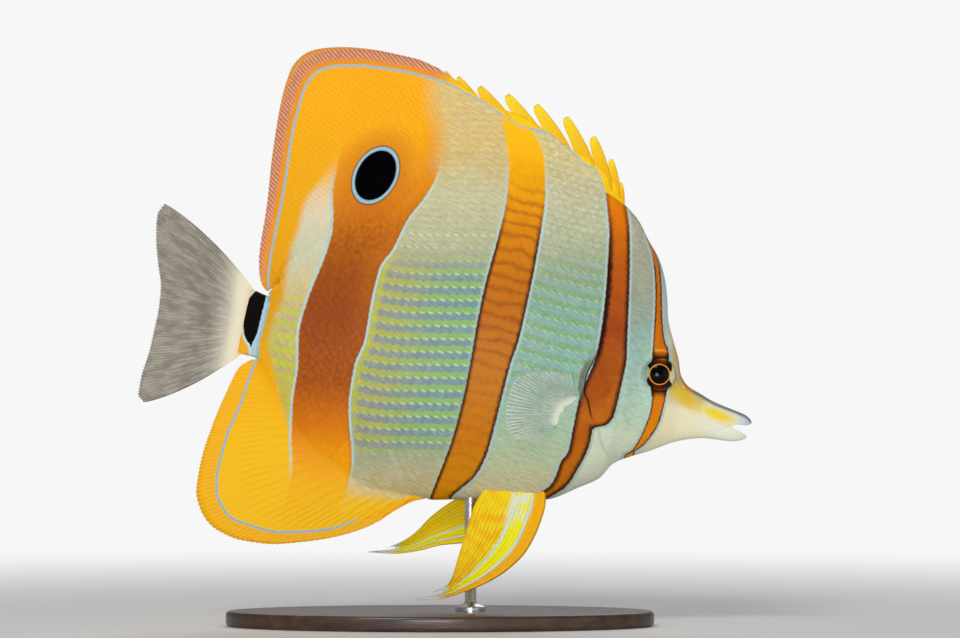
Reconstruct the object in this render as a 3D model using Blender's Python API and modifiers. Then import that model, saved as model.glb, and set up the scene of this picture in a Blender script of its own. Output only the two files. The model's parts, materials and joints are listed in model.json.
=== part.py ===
"""Copperband butterflyfish: a life-size museum model, swimming nose down, on a plain display stand.

The fish is described in its own frame, in millimetres: u runs from the tail root to the snout, v up its
side, and y to its left. An empty at the tail root tips that frame nose down and sets it above the stand.
"""

import math
from bisect import bisect

import bmesh
import bpy
from mathutils import Matrix, Vector

MM = 0.001
GAP = 0.3
SIDES = {-1: "right", 1: "left"}

# Pose: the tail root above the stand's middle, and how far the nose points down.
POSE_PLACE = (-47.6, 0.0, 78.7)
PITCH_DEG = 12.0

# Body, at stations u along the axis: its back, its belly, its widest level, half its width there.
BACK = (
    (-2.6, 8.3), (1.2, 7.6), (2.6, 14.5), (6.6, 24.5), (14.6, 36.0), (24.2, 46.0), (36.0, 53.0),
    (46.0, 56.0), (57.0, 57.0), (68.0, 56.0), (77.0, 54.0), (84.0, 52.0), (87.6, 50.2), (91.5, 47.3),
    (95.1, 42.9), (99.0, 38.4), (101.6, 33.6), (103.3, 28.6), (104.6, 23.6), (106.9, 18.7), (109.4, 13.9),
    (111.0, 9.8), (113.6, 7.4), (116.8, 6.3), (121.0, 4.9),
)
BELLY = (
    (-2.6, -7.9), (1.2, -8.1), (2.6, -9.6), (4.2, -11.6), (13.1, -21.5), (25.7, -30.4), (40.0, -35.0),
    (52.0, -35.0), (60.0, -33.5), (71.3, -31.1), (83.6, -28.5), (91.1, -23.7), (95.7, -20.3),
    (98.3, -16.0), (102.2, -13.3), (107.0, -10.7), (112.2, -7.4), (116.6, -5.5), (121.0, -4.4),
)
LEVEL = (
    (-2.6, 0.0), (20.0, 4.0), (50.0, 5.0), (85.0, 3.0), (96.0, 4.5), (105.0, 8.0), (110.0, 4.5),
    (121.0, 0.2),
)
WIDTH = (
    (-2.6, 1.9), (1.2, 2.9), (10.0, 4.2), (30.0, 7.0), (50.0, 9.3), (70.0, 10.3), (86.0, 10.5),
    (96.0, 9.6), (102.0, 8.5), (106.0, 7.4), (109.5, 5.6), (113.0, 4.0), (117.0, 3.2), (121.0, 2.8),
)
# Half the width of the body's upper and lower edges, where the fins stand.
EDGE = ((-2.6, 1.1), (40.0, 1.1), (80.0, 1.0), (90.0, 0.7), (121.0, 0.5))
# How the sides close in above and below the widest level: 0.5 is round and 1 is lens-shaped.
CLOSE_UP = ((-2.6, 0.5), (3.0, 0.8), (20.0, 0.9), (75.0, 0.85), (88.0, 0.7), (100.0, 0.6), (121.0, 0.5))
CLOSE_DOWN = ((-2.6, 0.5), (3.0, 0.8), (20.0, 0.9), (45.0, 0.8), (56.0, 0.62), (106.0, 0.55), (121.0, 0.5))
SIDE_STEPS = 14

# Stations of the tail stalk, the trunk and the head, closer where the outline turns.
HEAD_REAR, SNOUT_END = 88.6, 121.0
STALK_STATIONS = (-2.6, -0.7, 1.2)
TRUNK_STATIONS = (
    1.5, 2.1, 2.8, 4.0, 6.0, 9.0, 13.0, 18.0, 24.0, 30.0, 37.0, 44.0, 51.0, 58.0, 65.0, 71.0, 77.0,
    82.0, 85.5, HEAD_REAR - GAP,
)
HEAD_STATIONS = (
    HEAD_REAR, 90.5, 92.5, 94.5, 96.2, 98.0, 99.6, 101.2, 102.5, 103.5, 104.5, 105.7, 107.0, 108.3,
    109.6, 111.0, 112.6, 114.6, 117.4, SNOUT_END,
)

# Jaws: the upper jaw's top and underside, the lower jaw's top and underside, and half their width.
UPPER_JAW_TOP = ((121.0, 4.9), (125.2, 4.2), (129.6, 3.4), (131.0, 2.6), (131.4, 2.0))
UPPER_JAW_FLOOR = ((121.0, 0.1), (126.4, 0.1), (127.6, 0.5), (130.4, 0.9), (131.4, 1.7))
LOWER_JAW_TOP = ((121.0, -0.2), (126.4, -0.2), (127.4, -0.6), (129.2, -1.0), (131.0, -1.9))
LOWER_JAW_FLOOR = ((121.0, -4.4), (127.0, -4.0), (129.8, -3.2), (130.7, -2.6), (131.0, -2.2))
JAW_WIDTH = ((121.0, 2.8), (126.0, 2.3), (129.5, 1.8), (130.6, 1.2), (131.4, 0.4))
JAW_STATIONS = (0.0, 0.28, 0.5, 0.62, 0.78, 0.9, 0.97, 1.0)
JAW_STEPS = 10
LIP_SWELL, LIP_HEIGHT = 0.1, 0.35

# Eye: a flattened ball that stands a little proud of the head.
EYE_CENTRE = (105.1, 5.5, 9.2)
EYE_RADIUS, EYE_DEPTH = 4.4, 3.0

# Nostrils: two pits on each side, ahead of the eye.
NOSTRILS = ((110.3, 8.9), (111.7, 7.1))
NOSTRIL_RADIUS, NOSTRIL_OUT = 0.5, 0.1

# Gill cover: its outline on the head's side, its plate's thickness, how proud it stands and its rim's drop.
GILL_COVER = (
    (92.0, 16.0), (88.2, 14.0), (86.9, 8.5), (87.1, 2.5), (88.5, -1.2), (90.3, -4.9), (92.6, -8.4),
    (94.6, -11.4), (97.2, -13.2), (100.4, -11.6), (102.2, -6.3), (101.6, 0.3), (99.4, 6.5), (96.2, 12.4),
)
PLATE, PLATE_RISE, PLATE_RIM = 1.0, 0.15, 0.2
PLATE_RINGS = (1.0, 0.85, 0.45)
BED_MARGIN, BED_HEIGHT = 0.42, 4.0

# Half the thickness of a fin's membrane at its root and its edge, how it thins, and how far a ray stands up.
FIN_ROOT, FIN_EDGE, FIN_TAPER = 1.1, 0.27, 0.6
RAY_RISE, SPINE_RISE, RISE_LOST = 0.16, 0.4, 0.5

# Dorsal fin: nine spines, each by its root's place along the back, its tip and its lobe's breadth.
DORSAL_SPINES = (
    (86.6, (85.2, 56.2), 1.3), (85.6, (81.6, 61.7), 1.8), (83.6, (76.0, 66.6), 2.8),
    (80.6, (67.9, 70.2), 3.0), (76.0, (59.6, 71.8), 3.2), (70.0, (51.6, 72.8), 3.2),
    (63.0, (44.0, 73.3), 3.0), (56.0, (37.9, 74.5), 2.0), (49.5, (34.4, 75.2), 1.0),
)
SPINE_RADIUS, SPINE_TIP_RADIUS, SPINE_ROOT_UP, SPINE_BOW = 0.75, 0.3, 1.4, 0.05
SPINE_STATIONS = (0.0, 0.25, 0.5, 0.7, 0.85, 0.95, 1.0)
LOBE_BREADTH = ((0.0, 0.2), (0.5, 1.0), (0.9, 0.85), (1.0, 0.35))
# The spiny membrane's edge from the nape back to the split with the soft fin.
SPINY_EDGE = (
    (87.3, 51.2), (85.0, 54.6), (82.0, 56.6), (76.3, 60.6), (70.0, 62.4), (61.5, 66.3), (54.7, 68.2),
    (48.6, 69.1), (41.4, 71.6), (37.0, 73.7), (32.9, 75.3),
)
SPINY_ROOT = (87.2, 46.6)
SPINY_COLUMNS, SPINY_ROWS, SPINY_THICKNESS = 22, 3, 0.35

# Soft dorsal fin: its root's two ends along the back, and its edge from the split to the tail stalk.
SOFT_ROOT = (46.2, 1.9)
SOFT_EDGE = (
    (32.5, 75.5), (25.6, 76.8), (17.6, 76.9), (9.7, 76.3), (2.1, 74.6), (-2.8, 72.0), (-5.6, 66.9),
    (-6.3, 58.8), (-5.7, 45.6), (-4.2, 30.0), (-3.7, 19.3), (-2.8, 14.1), (-1.2, 10.4), (0.5, 9.0),
)
SOFT_RAYS = 29

# Anal fin: its spines and rays, its root along the belly, and its edge from the front to the tail stalk.
ANAL_ROOT = (53.0, 1.9)
ANAL_EDGE = (
    (50.8, -35.9), (48.6, -37.0), (45.1, -40.0), (41.6, -43.6), (37.2, -46.9), (30.0, -50.6),
    (23.8, -52.9), (13.7, -55.6), (7.1, -56.0), (0.1, -54.5), (-4.6, -50.6), (-7.0, -45.0),
    (-7.3, -38.0), (-6.3, -28.0), (-4.4, -18.3), (-2.6, -11.8), (0.0, -9.3),
)
ANAL_SPINES, ANAL_RAYS = 3, 20
MEDIAN_ROWS = 5
# Where on the soft dorsal fin's edge a ray ends, as a share of the edge, by the share of the root it starts at.
SOFT_LEAN = ((0.0, 0.0), (0.2, 0.2), (0.5, 0.41), (0.8, 0.67), (1.0, 1.0))
EVEN = ((0.0, 0.0), (1.0, 1.0))

# Tail fin: its rays, its root's top and bottom, and its rear edge from the upper tip to the lower.
TAIL_RAYS = 17
TAIL_ROOT = (8.2, -7.8)
TAIL_EDGE = (
    (-30.6, 26.2), (-31.9, 23.0), (-31.0, 17.0), (-29.3, 11.0), (-27.0, 4.0), (-26.4, -3.0),
    (-26.5, -12.0), (-27.2, -20.0), (-27.0, -24.4), (-25.0, -26.2),
)
TAIL_BOW = 2.0
TAIL_THICKNESS = (1.3, 0.27)

# Pectoral fin: its rays, its root from top to bottom, the ring of its tips, and how far the tips stand out.
PECTORAL_RAYS, PECTORAL_ROWS = 15, 4
PECTORAL_BASE = ((85.8, -2.4), (84.4, -5.2), (82.4, -8.0))
PECTORAL_TIPS = (
    (82.6, 4.6), (79.8, 4.6), (72.1, 2.9), (68.2, -0.3), (67.6, -5.6), (68.7, -12.0), (72.6, -15.0),
    (77.6, -14.0),
)
PECTORAL_SUNK, PECTORAL_FLARE = 1.2, 3.6
PECTORAL_THICKNESS = (0.6, 0.27)

# Pelvic fins: a spine and five rays each. The right fin hangs, the left one trails.
PELVIC_RAYS, PELVIC_ROWS = 6, 8
PELVIC_FRONT = {
    "right": (
        (82.6, -26.4), (83.3, -31.0), (82.8, -36.0), (81.0, -42.8), (77.6, -48.2), (73.2, -52.6),
        (66.2, -57.3), (61.4, -59.7), (55.5, -61.0),
    ),
    "left": (
        (82.6, -26.4), (81.0, -31.5), (77.0, -37.0), (71.0, -42.0), (64.0, -45.0), (58.5, -46.8),
        (53.7, -49.2), (47.5, -51.4), (40.0, -52.6),
    ),
}
PELVIC_REAR = {
    "right": (
        (67.0, -28.4), (65.0, -35.0), (64.3, -42.0), (63.8, -48.0), (63.4, -52.8), (62.6, -55.6),
        (59.4, -58.2),
    ),
    "left": (
        (67.0, -28.4), (60.5, -33.5), (56.6, -37.4), (54.1, -40.6), (51.9, -44.2), (49.3, -47.2),
        (44.8, -50.6),
    ),
}
PELVIC_ROOT_OUT, PELVIC_SPLAY = 2.6, 6.5
PELVIC_THICKNESS = (0.55, 0.27)
# Paired fins stand out from the body faster near their root.
FLARE_POWER = 0.8

# Stand: a flat oval base, and one turned rod from it into a hole in the belly.
BASE_LENGTH, BASE_WIDTH, BASE_HEIGHT, BASE_BEVEL = 112.0, 58.0, 4.0, 1.2
ROD_X, ROD_RADIUS, ROD_TOP, ROD_SIDES = 8.0, 1.5, 45.0, 24
ROD_FOOT_RADIUS, ROD_FOOT_RIM, ROD_FOOT_HEIGHT = 4.0, 1.0, 1.6
ROD_HOLE_BOTTOM = 20.0

COLOURS = {
    "skin": (0.80, 0.78, 0.62), "fin_orange": (0.95, 0.52, 0.03), "fin_yellow": (0.95, 0.70, 0.05),
    "fin_clear": (0.72, 0.70, 0.66), "eye": (0.02, 0.015, 0.015), "jaw": (0.86, 0.84, 0.78),
    "stand_wood": (0.10, 0.05, 0.03), "stand_steel": (0.60, 0.60, 0.62),
}


def profile(points):
    """A smooth function through (place, value) points, which goes past none of them."""
    places, values = zip(*sorted(points))
    steps = [(values[i + 1] - values[i]) / (places[i + 1] - places[i]) for i in range(len(places) - 1)]
    inner = [0.0 if a * b <= 0 else 2 * a * b / (a + b) for a, b in zip(steps, steps[1:])]
    slopes = [steps[0], *inner, steps[-1]]

    def value(place):
        place = min(max(place, places[0]), places[-1])
        i = min(max(bisect(places, place) - 1, 0), len(steps) - 1)
        span = places[i + 1] - places[i]
        t = (place - places[i]) / span
        rise = values[i + 1] - values[i]
        curve = t * t * (3 - 2 * t) * rise
        return values[i] + curve + span * t * (1 - t) * ((1 - t) * slopes[i] - t * slopes[i + 1])

    return value


def path(points):
    """A smooth path through points in the plane, as a function of the share of its length from 0 to 1."""
    reach = [0.0]
    for a, b in zip(points, points[1:]):
        reach.append(reach[-1] + math.dist(a, b))
    across = profile([(r / reach[-1], p[0]) for r, p in zip(reach, points)])
    up = profile([(r / reach[-1], p[1]) for r, p in zip(reach, points)])
    return lambda share: Vector((across(share), up(share)))


back, belly, level = profile(BACK), profile(BELLY), profile(LEVEL)
width, edge, jaw_width = profile(WIDTH), profile(EDGE), profile(JAW_WIDTH)
close_up, close_down = profile(CLOSE_UP), profile(CLOSE_DOWN)


def half_width(u, v):
    """Half the body's width at a point of its side."""
    upper = v > level(u)
    reach = back(u) - level(u) if upper else level(u) - belly(u)
    t = min(abs(v - level(u)) / reach, 1.0)
    return edge(u) + (width(u) - edge(u)) * (1 - t * t) ** (close_up(u) if upper else close_down(u))


def section(u, grow=0.0):
    """The ring of points round the body at one station, larger on every side by grow."""
    right = []
    for i in range(SIDE_STEPS + 1):
        a = math.pi * (i / SIDE_STEPS - 0.5)
        close = close_up(u) if a > 0 else close_down(u)
        y = edge(u) + (width(u) - edge(u)) * max(math.cos(a), 0.0) ** (2 * close) + grow
        reach = back(u) + grow - level(u) if a > 0 else level(u) - belly(u) + grow
        right.append((u, -y, level(u) + math.sin(a) * reach))
    return right + [(u, -y, v) for u, y, v in reversed(right)]


def jaw_section(u, low, high):
    """A jaw's ring at one station: flat at height low, with a lip on each side, and round to height high."""
    ring = []
    for i in range(JAW_STEPS + 1):
        a = math.pi * i / JAW_STEPS
        lip = 1 + LIP_SWELL * math.exp(-((math.sin(a) / LIP_HEIGHT) ** 2))
        ring.append((u, jaw_width(u) * math.cos(a) * lip, low + (high - low) * math.sin(a)))
    return ring


def material(name):
    """The part's surface in its main colour."""
    made = bpy.data.materials.get(name)
    if made is None:
        made = bpy.data.materials.new(name)
        made.use_nodes = True
        shader = made.node_tree.nodes["Principled BSDF"]
        shader.inputs["Base Color"].default_value = (*COLOURS[name], 1.0)
        shader.inputs["Roughness"].default_value = 0.35
        shader.inputs["Metallic"].default_value = 1.0 if name == "stand_steel" else 0.0
    return made


def add(name, mesh, colour, collection="butterflyfish", parent=True):
    """An object for a mesh, in its collection, posed with the fish."""
    obj = bpy.data.objects.new(name, mesh)
    bpy.data.collections[collection].objects.link(obj)
    mesh.materials.clear()
    mesh.materials.append(material(colour))
    if parent:
        obj.parent = bpy.data.objects["pose"]
    return obj


def solid(name, points, faces, colour, collection="butterflyfish"):
    """An object from points in millimetres and faces, which are turned outwards."""
    bm = bmesh.new()
    vertices = [bm.verts.new(Vector(p) * MM) for p in points]
    for face in faces:
        bm.faces.new([vertices[i] for i in face])
    bmesh.ops.recalc_face_normals(bm, faces=bm.faces)
    mesh = bpy.data.meshes.new(name)
    bm.to_mesh(mesh)
    bm.free()
    return add(name, mesh, colour, collection)


def loft(name, rings, colour, collection="butterflyfish"):
    """A closed solid through rings of equally many points, with a flat face at each end."""
    count = len(rings[0])
    faces = [tuple(range(count)), tuple(range(count * (len(rings) - 1), count * len(rings)))]
    for i in range(0, count * (len(rings) - 1), count):
        for j in range(count):
            k = (j + 1) % count
            faces.append((i + j, i + k, i + count + k, i + count + j))
    return solid(name, [p for ring in rings for p in ring], faces, colour, collection)


def sheet(name, columns, halves, colour, collection="butterflyfish"):
    """A thin closed solid, halves[c][r] thick on either side of the middle point columns[c][r]."""
    wide, tall = len(columns), len(columns[0])
    points = []
    for sign in (1, -1):
        for c in range(wide):
            for r in range(tall):
                across = columns[min(c + 1, wide - 1)][r] - columns[max(c - 1, 0)][r]
                along = columns[c][min(r + 1, tall - 1)] - columns[c][max(r - 1, 0)]
                normal = across.cross(along).normalized()
                points.append(columns[c][r] + normal * halves[c][r] * sign)
    other = wide * tall
    faces = []
    for c in range(wide - 1):
        for r in range(tall - 1):
            a, b = c * tall + r, (c + 1) * tall + r
            for shift in (0, other):
                faces.append((a + shift, b + shift, b + 1 + shift))
                faces.append((a + shift, b + 1 + shift, a + 1 + shift))
    rim = [c * tall for c in range(wide)]
    rim += [(wide - 1) * tall + r for r in range(1, tall)]
    rim += [c * tall + tall - 1 for c in range(wide - 2, -1, -1)]
    rim += list(range(tall - 2, 0, -1))
    for a, b in zip(rim, rim[1:] + rim[:1]):
        faces += [(a, b, b + other), (a, b + other, a + other)]
    return solid(name, points, faces, colour, collection)


def ray_halves(rows, root, rim, rises):
    """Half thicknesses over a fin, with a ray of its own rise at every second column of the membrane."""
    halves = []
    for c in range(2 * len(rises) + 1):
        column = []
        for r in range(rows + 1):
            t = r / rows
            rise = rises[c // 2] * (1 - RISE_LOST * t) if c % 2 else 0.0
            column.append(root + (rim - root) * t**FIN_TAPER + rise)
        halves.append(column)
    return halves


def flat(point, y=0.0):
    """A point of the fish's side as one in space."""
    return Vector((point[0], y, point[1]))


def made_whole(obj):
    """Turns an object with modifiers into its result and keeps only its largest closed surface."""
    bpy.context.view_layer.update()
    result = bpy.data.meshes.new_from_object(obj.evaluated_get(bpy.context.evaluated_depsgraph_get()))
    obj.modifiers.clear()
    bm = bmesh.new()
    bm.from_mesh(result)
    islands, seen = [], set()
    for start in bm.verts:
        if start in seen:
            continue
        island, stack = set(), [start]
        while stack:
            vertex = stack.pop()
            if vertex in island:
                continue
            island.add(vertex)
            stack += [e.other_vert(vertex) for e in vertex.link_edges]
        seen |= island
        islands.append(island)
    largest = max(islands, key=len)
    bmesh.ops.delete(bm, geom=[v for v in bm.verts if v not in largest], context="VERTS")
    bm.to_mesh(obj.data)
    bm.free()
    bpy.data.meshes.remove(result)


def boolean(obj, others, operation):
    """Cuts closed solids from an object, or joins them to it, and removes the ones that were joined."""
    bpy.context.view_layer.update()
    for other in others:
        modifier = obj.modifiers.new(operation.lower(), "BOOLEAN")
        modifier.operation = operation
        modifier.object = other
    made_whole(obj)
    if operation == "UNION":
        for other in others:
            bpy.data.objects.remove(other)


def tail_stalk():
    return loft("tail_stalk", [section(u) for u in STALK_STATIONS], "skin")


def trunk():
    """The trunk, with a hole into the belly for the rod and a bed for the rear of each gill cover."""
    body = loft("trunk", [section(u) for u in TRUNK_STATIONS], "skin")
    boolean(body, [rod_hole(), *gill_beds()], "DIFFERENCE")
    return body


def head():
    """The head out to the jaws, with its eye sockets, nostrils and the beds of the gill covers."""
    body = loft("head", [section(u) for u in HEAD_STATIONS], "skin")
    pits = [eye(side, GAP, "socket", "cutters") for side in SIDES]
    pits += [nostril(side, place) for side in SIDES for place in NOSTRILS]
    boolean(body, [*pits, *gill_beds()], "DIFFERENCE")
    return body


def ball(name, centre, radii, colour, collection, segments=20, rings=12):
    """A flattened ball."""
    bm = bmesh.new()
    bmesh.ops.create_uvsphere(bm, u_segments=segments, v_segments=rings, radius=1.0)
    size = Matrix.Diagonal((*[r * MM for r in radii], 1.0))
    bm.transform(Matrix.Translation(Vector(centre) * MM) @ size @ Matrix.Rotation(math.pi / 2, 4, "X"))
    mesh = bpy.data.meshes.new(name)
    bm.to_mesh(mesh)
    bm.free()
    return add(name, mesh, colour, collection)


def eye(side, grow=0.0, name="eye", collection="butterflyfish"):
    u, y, v = EYE_CENTRE
    radii = (EYE_RADIUS + grow, EYE_DEPTH + grow, EYE_RADIUS + grow)
    return ball(f"{name}_{SIDES[side]}", (u, side * y, v), radii, "eye", collection)


def nostril(side, place):
    centre = (place[0], side * (half_width(*place) + NOSTRIL_OUT), place[1])
    return ball("nostril", centre, (NOSTRIL_RADIUS,) * 3, "eye", "cutters", 8, 6)


def side_plate(name, side, margin, inner, outer, collection):
    """A plate of the gill cover's outline and a margin, between two depths below or above the skin."""
    middle = Vector((0.0, 0.0))
    for p in GILL_COVER:
        middle += Vector(p) / len(GILL_COVER)
    layers = []
    for depth in (outer, inner):
        for share in PLATE_RINGS:
            drop = PLATE_RIM if depth == outer and share == 1.0 else 0.0
            layer = []
            for p in GILL_COVER:
                out = Vector(p) - middle
                q = middle + out * share * (1 + margin / out.length)
                layer.append((q[0], side * (half_width(*q) + depth - drop), q[1]))
            layers.append(layer)
        layers.append([(middle[0], side * (half_width(*middle) + depth), middle[1])])
    count = len(GILL_COVER)
    points = [p for layer in layers for p in layer]
    half = 3 * count + 1
    faces = []
    for i in range(count):
        j = (i + 1) % count
        for start in (0, half):
            for ring in (start, start + count):
                faces.append((ring + i, ring + j, ring + count + j))
                faces.append((ring + i, ring + count + j, ring + count + i))
            faces.append((start + 2 * count + i, start + 2 * count + j, start + 3 * count))
        faces.append((i, j, half + j, half + i))
    return solid(name, points, faces, "skin", collection)


def gill_cover(side):
    return side_plate(f"gill_cover_{SIDES[side]}", side, 0.0, PLATE_RISE - PLATE, PLATE_RISE, "butterflyfish")


def gill_beds():
    """Cutters a little larger than the gill covers, which sink a bed for each of them."""
    floor = PLATE_RISE - PLATE - GAP
    return [side_plate("gill_bed", side, BED_MARGIN, floor, BED_HEIGHT, "cutters") for side in SIDES]


def jaw(name, low, high):
    """A jaw from the snout's end to its tip."""
    lows, highs = profile(low), profile(high)
    tip = min(low[-1][0], high[-1][0])
    start = SNOUT_END + GAP
    stations = [start + (tip - start) * share for share in JAW_STATIONS]
    return loft(name, [jaw_section(u, lows(u), highs(u)) for u in stations], "jaw")


def spine(index, root_u, tip, breadth):
    """One dorsal spine with the lobe of membrane behind it, from inside the fin's root to its tip."""
    root = Vector((root_u, back(root_u) + SPINE_ROOT_UP))
    tip = Vector(tip)
    way = tip - root
    ahead = Vector((way[1], -way[0])).normalized()
    bow = way.length * SPINE_BOW
    breadths = profile(LOBE_BREADTH)
    rings = []
    for s in SPINE_STATIONS:
        middle = root + way * s + ahead * bow * 4 * s * (1 - s)
        radius = SPINE_RADIUS + (SPINE_TIP_RADIUS - SPINE_RADIUS) * s
        wide = max(breadth * breadths(s), radius * 1.3)
        half = [(-radius, 0), (0, radius), (wide * 0.8, FIN_EDGE), (wide, 0)]
        outline = half + [(behind, -y) for behind, y in half[2:0:-1]]
        rings.append([flat(middle - ahead * behind, y) for behind, y in outline])
    return loft(f"spine_{index}", rings, "fin_yellow", "cutters")


def root_point(line, u, out):
    """A point of the body's back or belly line, moved outwards by out."""
    step = 0.2
    slope = Vector((2 * step, line(u + step) - line(u - step))).normalized()
    normal = Vector((-slope[1], slope[0])) * (1 if line is back else -1)
    return Vector((u, line(u))) + normal * out


def edge_path(line, start, end):
    """The body's edge between two stations, clear of it by the gap, as a path."""
    steps = 24
    return path([root_point(line, start + (end - start) * i / steps, GAP) for i in range(steps + 1)])


def fan(root, rim, columns, rows, lean=EVEN):
    """Middle points of a flat fin whose rays run from a root path to a rim path."""
    ends, grid = profile(lean), []
    for c in range(columns):
        a, b = root(c / (columns - 1)), rim(ends(c / (columns - 1)))
        grid.append([flat(a.lerp(b, r / rows)) for r in range(rows + 1)])
    return grid


def dorsal_fin_spiny():
    """The spiny part of the dorsal fin: a low membrane and nine spines with their lobes."""
    grid = fan(edge_path(back, *SPINY_ROOT), path(SPINY_EDGE), SPINY_COLUMNS, SPINY_ROWS)
    thins = [(r / SPINY_ROWS) ** FIN_TAPER for r in range(SPINY_ROWS + 1)]
    halves = [[FIN_ROOT + (SPINY_THICKNESS - FIN_ROOT) * thin for thin in thins] for _ in grid]
    fin = sheet("dorsal_fin_spiny", grid, halves, "fin_yellow")
    boolean(fin, [spine(i, *sizes) for i, sizes in enumerate(DORSAL_SPINES)], "UNION")
    return fin


def rayed_fin(name, root, rim, thickness, rises, colour, lean=EVEN, bow=0.0):
    """A flat fin with a ridge for each ray. Its upper rays bow up by bow, and its lower ones down."""
    grid = fan(root, rim, 2 * len(rises) + 1, MEDIAN_ROWS, lean)
    for c, column in enumerate(grid):
        for r, point in enumerate(column):
            t = r / MEDIAN_ROWS
            point.z += bow * (1 - c / len(rises)) * 4 * t * (1 - t)
    return sheet(name, grid, ray_halves(MEDIAN_ROWS, *thickness, rises), colour)


def dorsal_fin_soft():
    root, rises = edge_path(back, *SOFT_ROOT), [RAY_RISE] * SOFT_RAYS
    thickness = (FIN_ROOT, FIN_EDGE)
    return rayed_fin("dorsal_fin_soft", root, path(SOFT_EDGE), thickness, rises, "fin_orange", SOFT_LEAN)


def anal_fin():
    root, rises = edge_path(belly, *ANAL_ROOT), [SPINE_RISE] * ANAL_SPINES + [RAY_RISE] * ANAL_RAYS
    return rayed_fin("anal_fin", root, path(ANAL_EDGE), (FIN_ROOT, FIN_EDGE), rises, "fin_orange")


def caudal_fin():
    """The tail fin, from the end of the tail stalk."""
    root = path([(STALK_STATIONS[0] - GAP, v) for v in TAIL_ROOT])
    rises = [RAY_RISE] * TAIL_RAYS
    return rayed_fin("caudal_fin", root, path(TAIL_EDGE), TAIL_THICKNESS, rises, "fin_clear", bow=TAIL_BOW)


def body_cutter():
    """The front of the body grown by the gap, to cut the paired fins clear of it."""
    stations = [u for u in (*TRUNK_STATIONS, *HEAD_STATIONS) if u > SOFT_ROOT[0]]
    return loft("body_cutter", [section(u, GAP) for u in stations], "skin", "cutters")


def pectoral_fin(side, cutter):
    """A pectoral fin: a fan of rays that leaves the flank just behind the gill cover."""
    grid = fan(path(PECTORAL_BASE), path(PECTORAL_TIPS), 2 * PECTORAL_RAYS + 1, PECTORAL_ROWS)
    for column in grid:
        for r, point in enumerate(column):
            t = r / PECTORAL_ROWS
            out = -PECTORAL_SUNK * (1 - t) + PECTORAL_FLARE * t**FLARE_POWER
            point.y = side * (half_width(point.x, point.z) + out)
    halves = ray_halves(PECTORAL_ROWS, *PECTORAL_THICKNESS, [RAY_RISE] * PECTORAL_RAYS)
    fin = sheet(f"pectoral_fin_{SIDES[side]}", grid, halves, "fin_clear")
    boolean(fin, [cutter], "DIFFERENCE")
    return fin


def pelvic_fin(side, cutter):
    """A pelvic fin, which leaves the lower flank and spreads away from the rod."""
    name, columns = SIDES[side], 2 * PELVIC_RAYS
    front, rear = path(PELVIC_FRONT[name]), path(PELVIC_REAR[name])
    grid = []
    for c in range(columns + 1):
        column = []
        for r in range(PELVIC_ROWS + 1):
            t = r / PELVIC_ROWS
            out = PELVIC_ROOT_OUT + PELVIC_SPLAY * t**FLARE_POWER
            column.append(flat(front(t).lerp(rear(t), c / columns), side * out))
        grid.append(column)
    rises = [SPINE_RISE] + [RAY_RISE] * (PELVIC_RAYS - 1)
    halves = ray_halves(PELVIC_ROWS, *PELVIC_THICKNESS, rises)
    fin = sheet(f"pelvic_fin_{name}", grid, halves, "fin_yellow")
    boolean(fin, [cutter], "DIFFERENCE")
    return fin


def turned(width, depth, height, segments):
    """An upright round or oval disc's mesh, from the level of its origin up."""
    bm = bmesh.new()
    bmesh.ops.create_cone(bm, cap_ends=True, segments=segments, radius1=0.5, radius2=0.5, depth=1.0)
    size = Matrix.Diagonal((width * MM, depth * MM, height * MM, 1.0))
    bm.transform(Matrix.Translation((0, 0, height * MM / 2)) @ size)
    mesh = bpy.data.meshes.new("turned")
    bm.to_mesh(mesh)
    bm.free()
    return mesh


def rod_hole():
    """The cutter for the hole in the belly, with clearance round the rod."""
    across = 2 * (ROD_RADIUS + GAP)
    mesh = turned(across, across, ROD_TOP + GAP - ROD_HOLE_BOTTOM, ROD_SIDES)
    hole = add("rod_hole", mesh, "stand_steel", "cutters", parent=False)
    hole.location = Vector((ROD_X, 0, ROD_HOLE_BOTTOM)) * MM
    return hole


def stand_rod():
    """The rod with its round foot, turned from its profile."""
    low = BASE_HEIGHT + GAP
    outline = (
        (0, ROD_TOP), (ROD_RADIUS, ROD_TOP), (ROD_RADIUS, low + ROD_FOOT_HEIGHT),
        (ROD_FOOT_RADIUS, low + ROD_FOOT_RIM), (ROD_FOOT_RADIUS, low), (0, low),
    )
    edges = [(i, i + 1) for i in range(len(outline) - 1)]
    mesh = bpy.data.meshes.new("stand_rod")
    mesh.from_pydata([(x * MM, 0, z * MM) for x, z in outline], edges, [])
    rod = add("stand_rod", mesh, "stand_steel", parent=False)
    rod.location.x = ROD_X * MM
    turn = rod.modifiers.new("turn", "SCREW")
    turn.steps = turn.render_steps = ROD_SIDES
    turn.use_merge_vertices = True
    turn.merge_threshold = 0.0001
    return rod


def stand_base():
    """The oval base, with a rounded rim."""
    mesh = turned(BASE_LENGTH, BASE_WIDTH, BASE_HEIGHT, 64)
    base = add("stand_base", mesh, "stand_wood", parent=False)
    bevel = base.modifiers.new("rounded_rim", "BEVEL")
    bevel.width = BASE_BEVEL * MM
    bevel.segments = 2
    bevel.limit_method = "ANGLE"
    bevel.angle_limit = math.radians(60)
    return base


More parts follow.
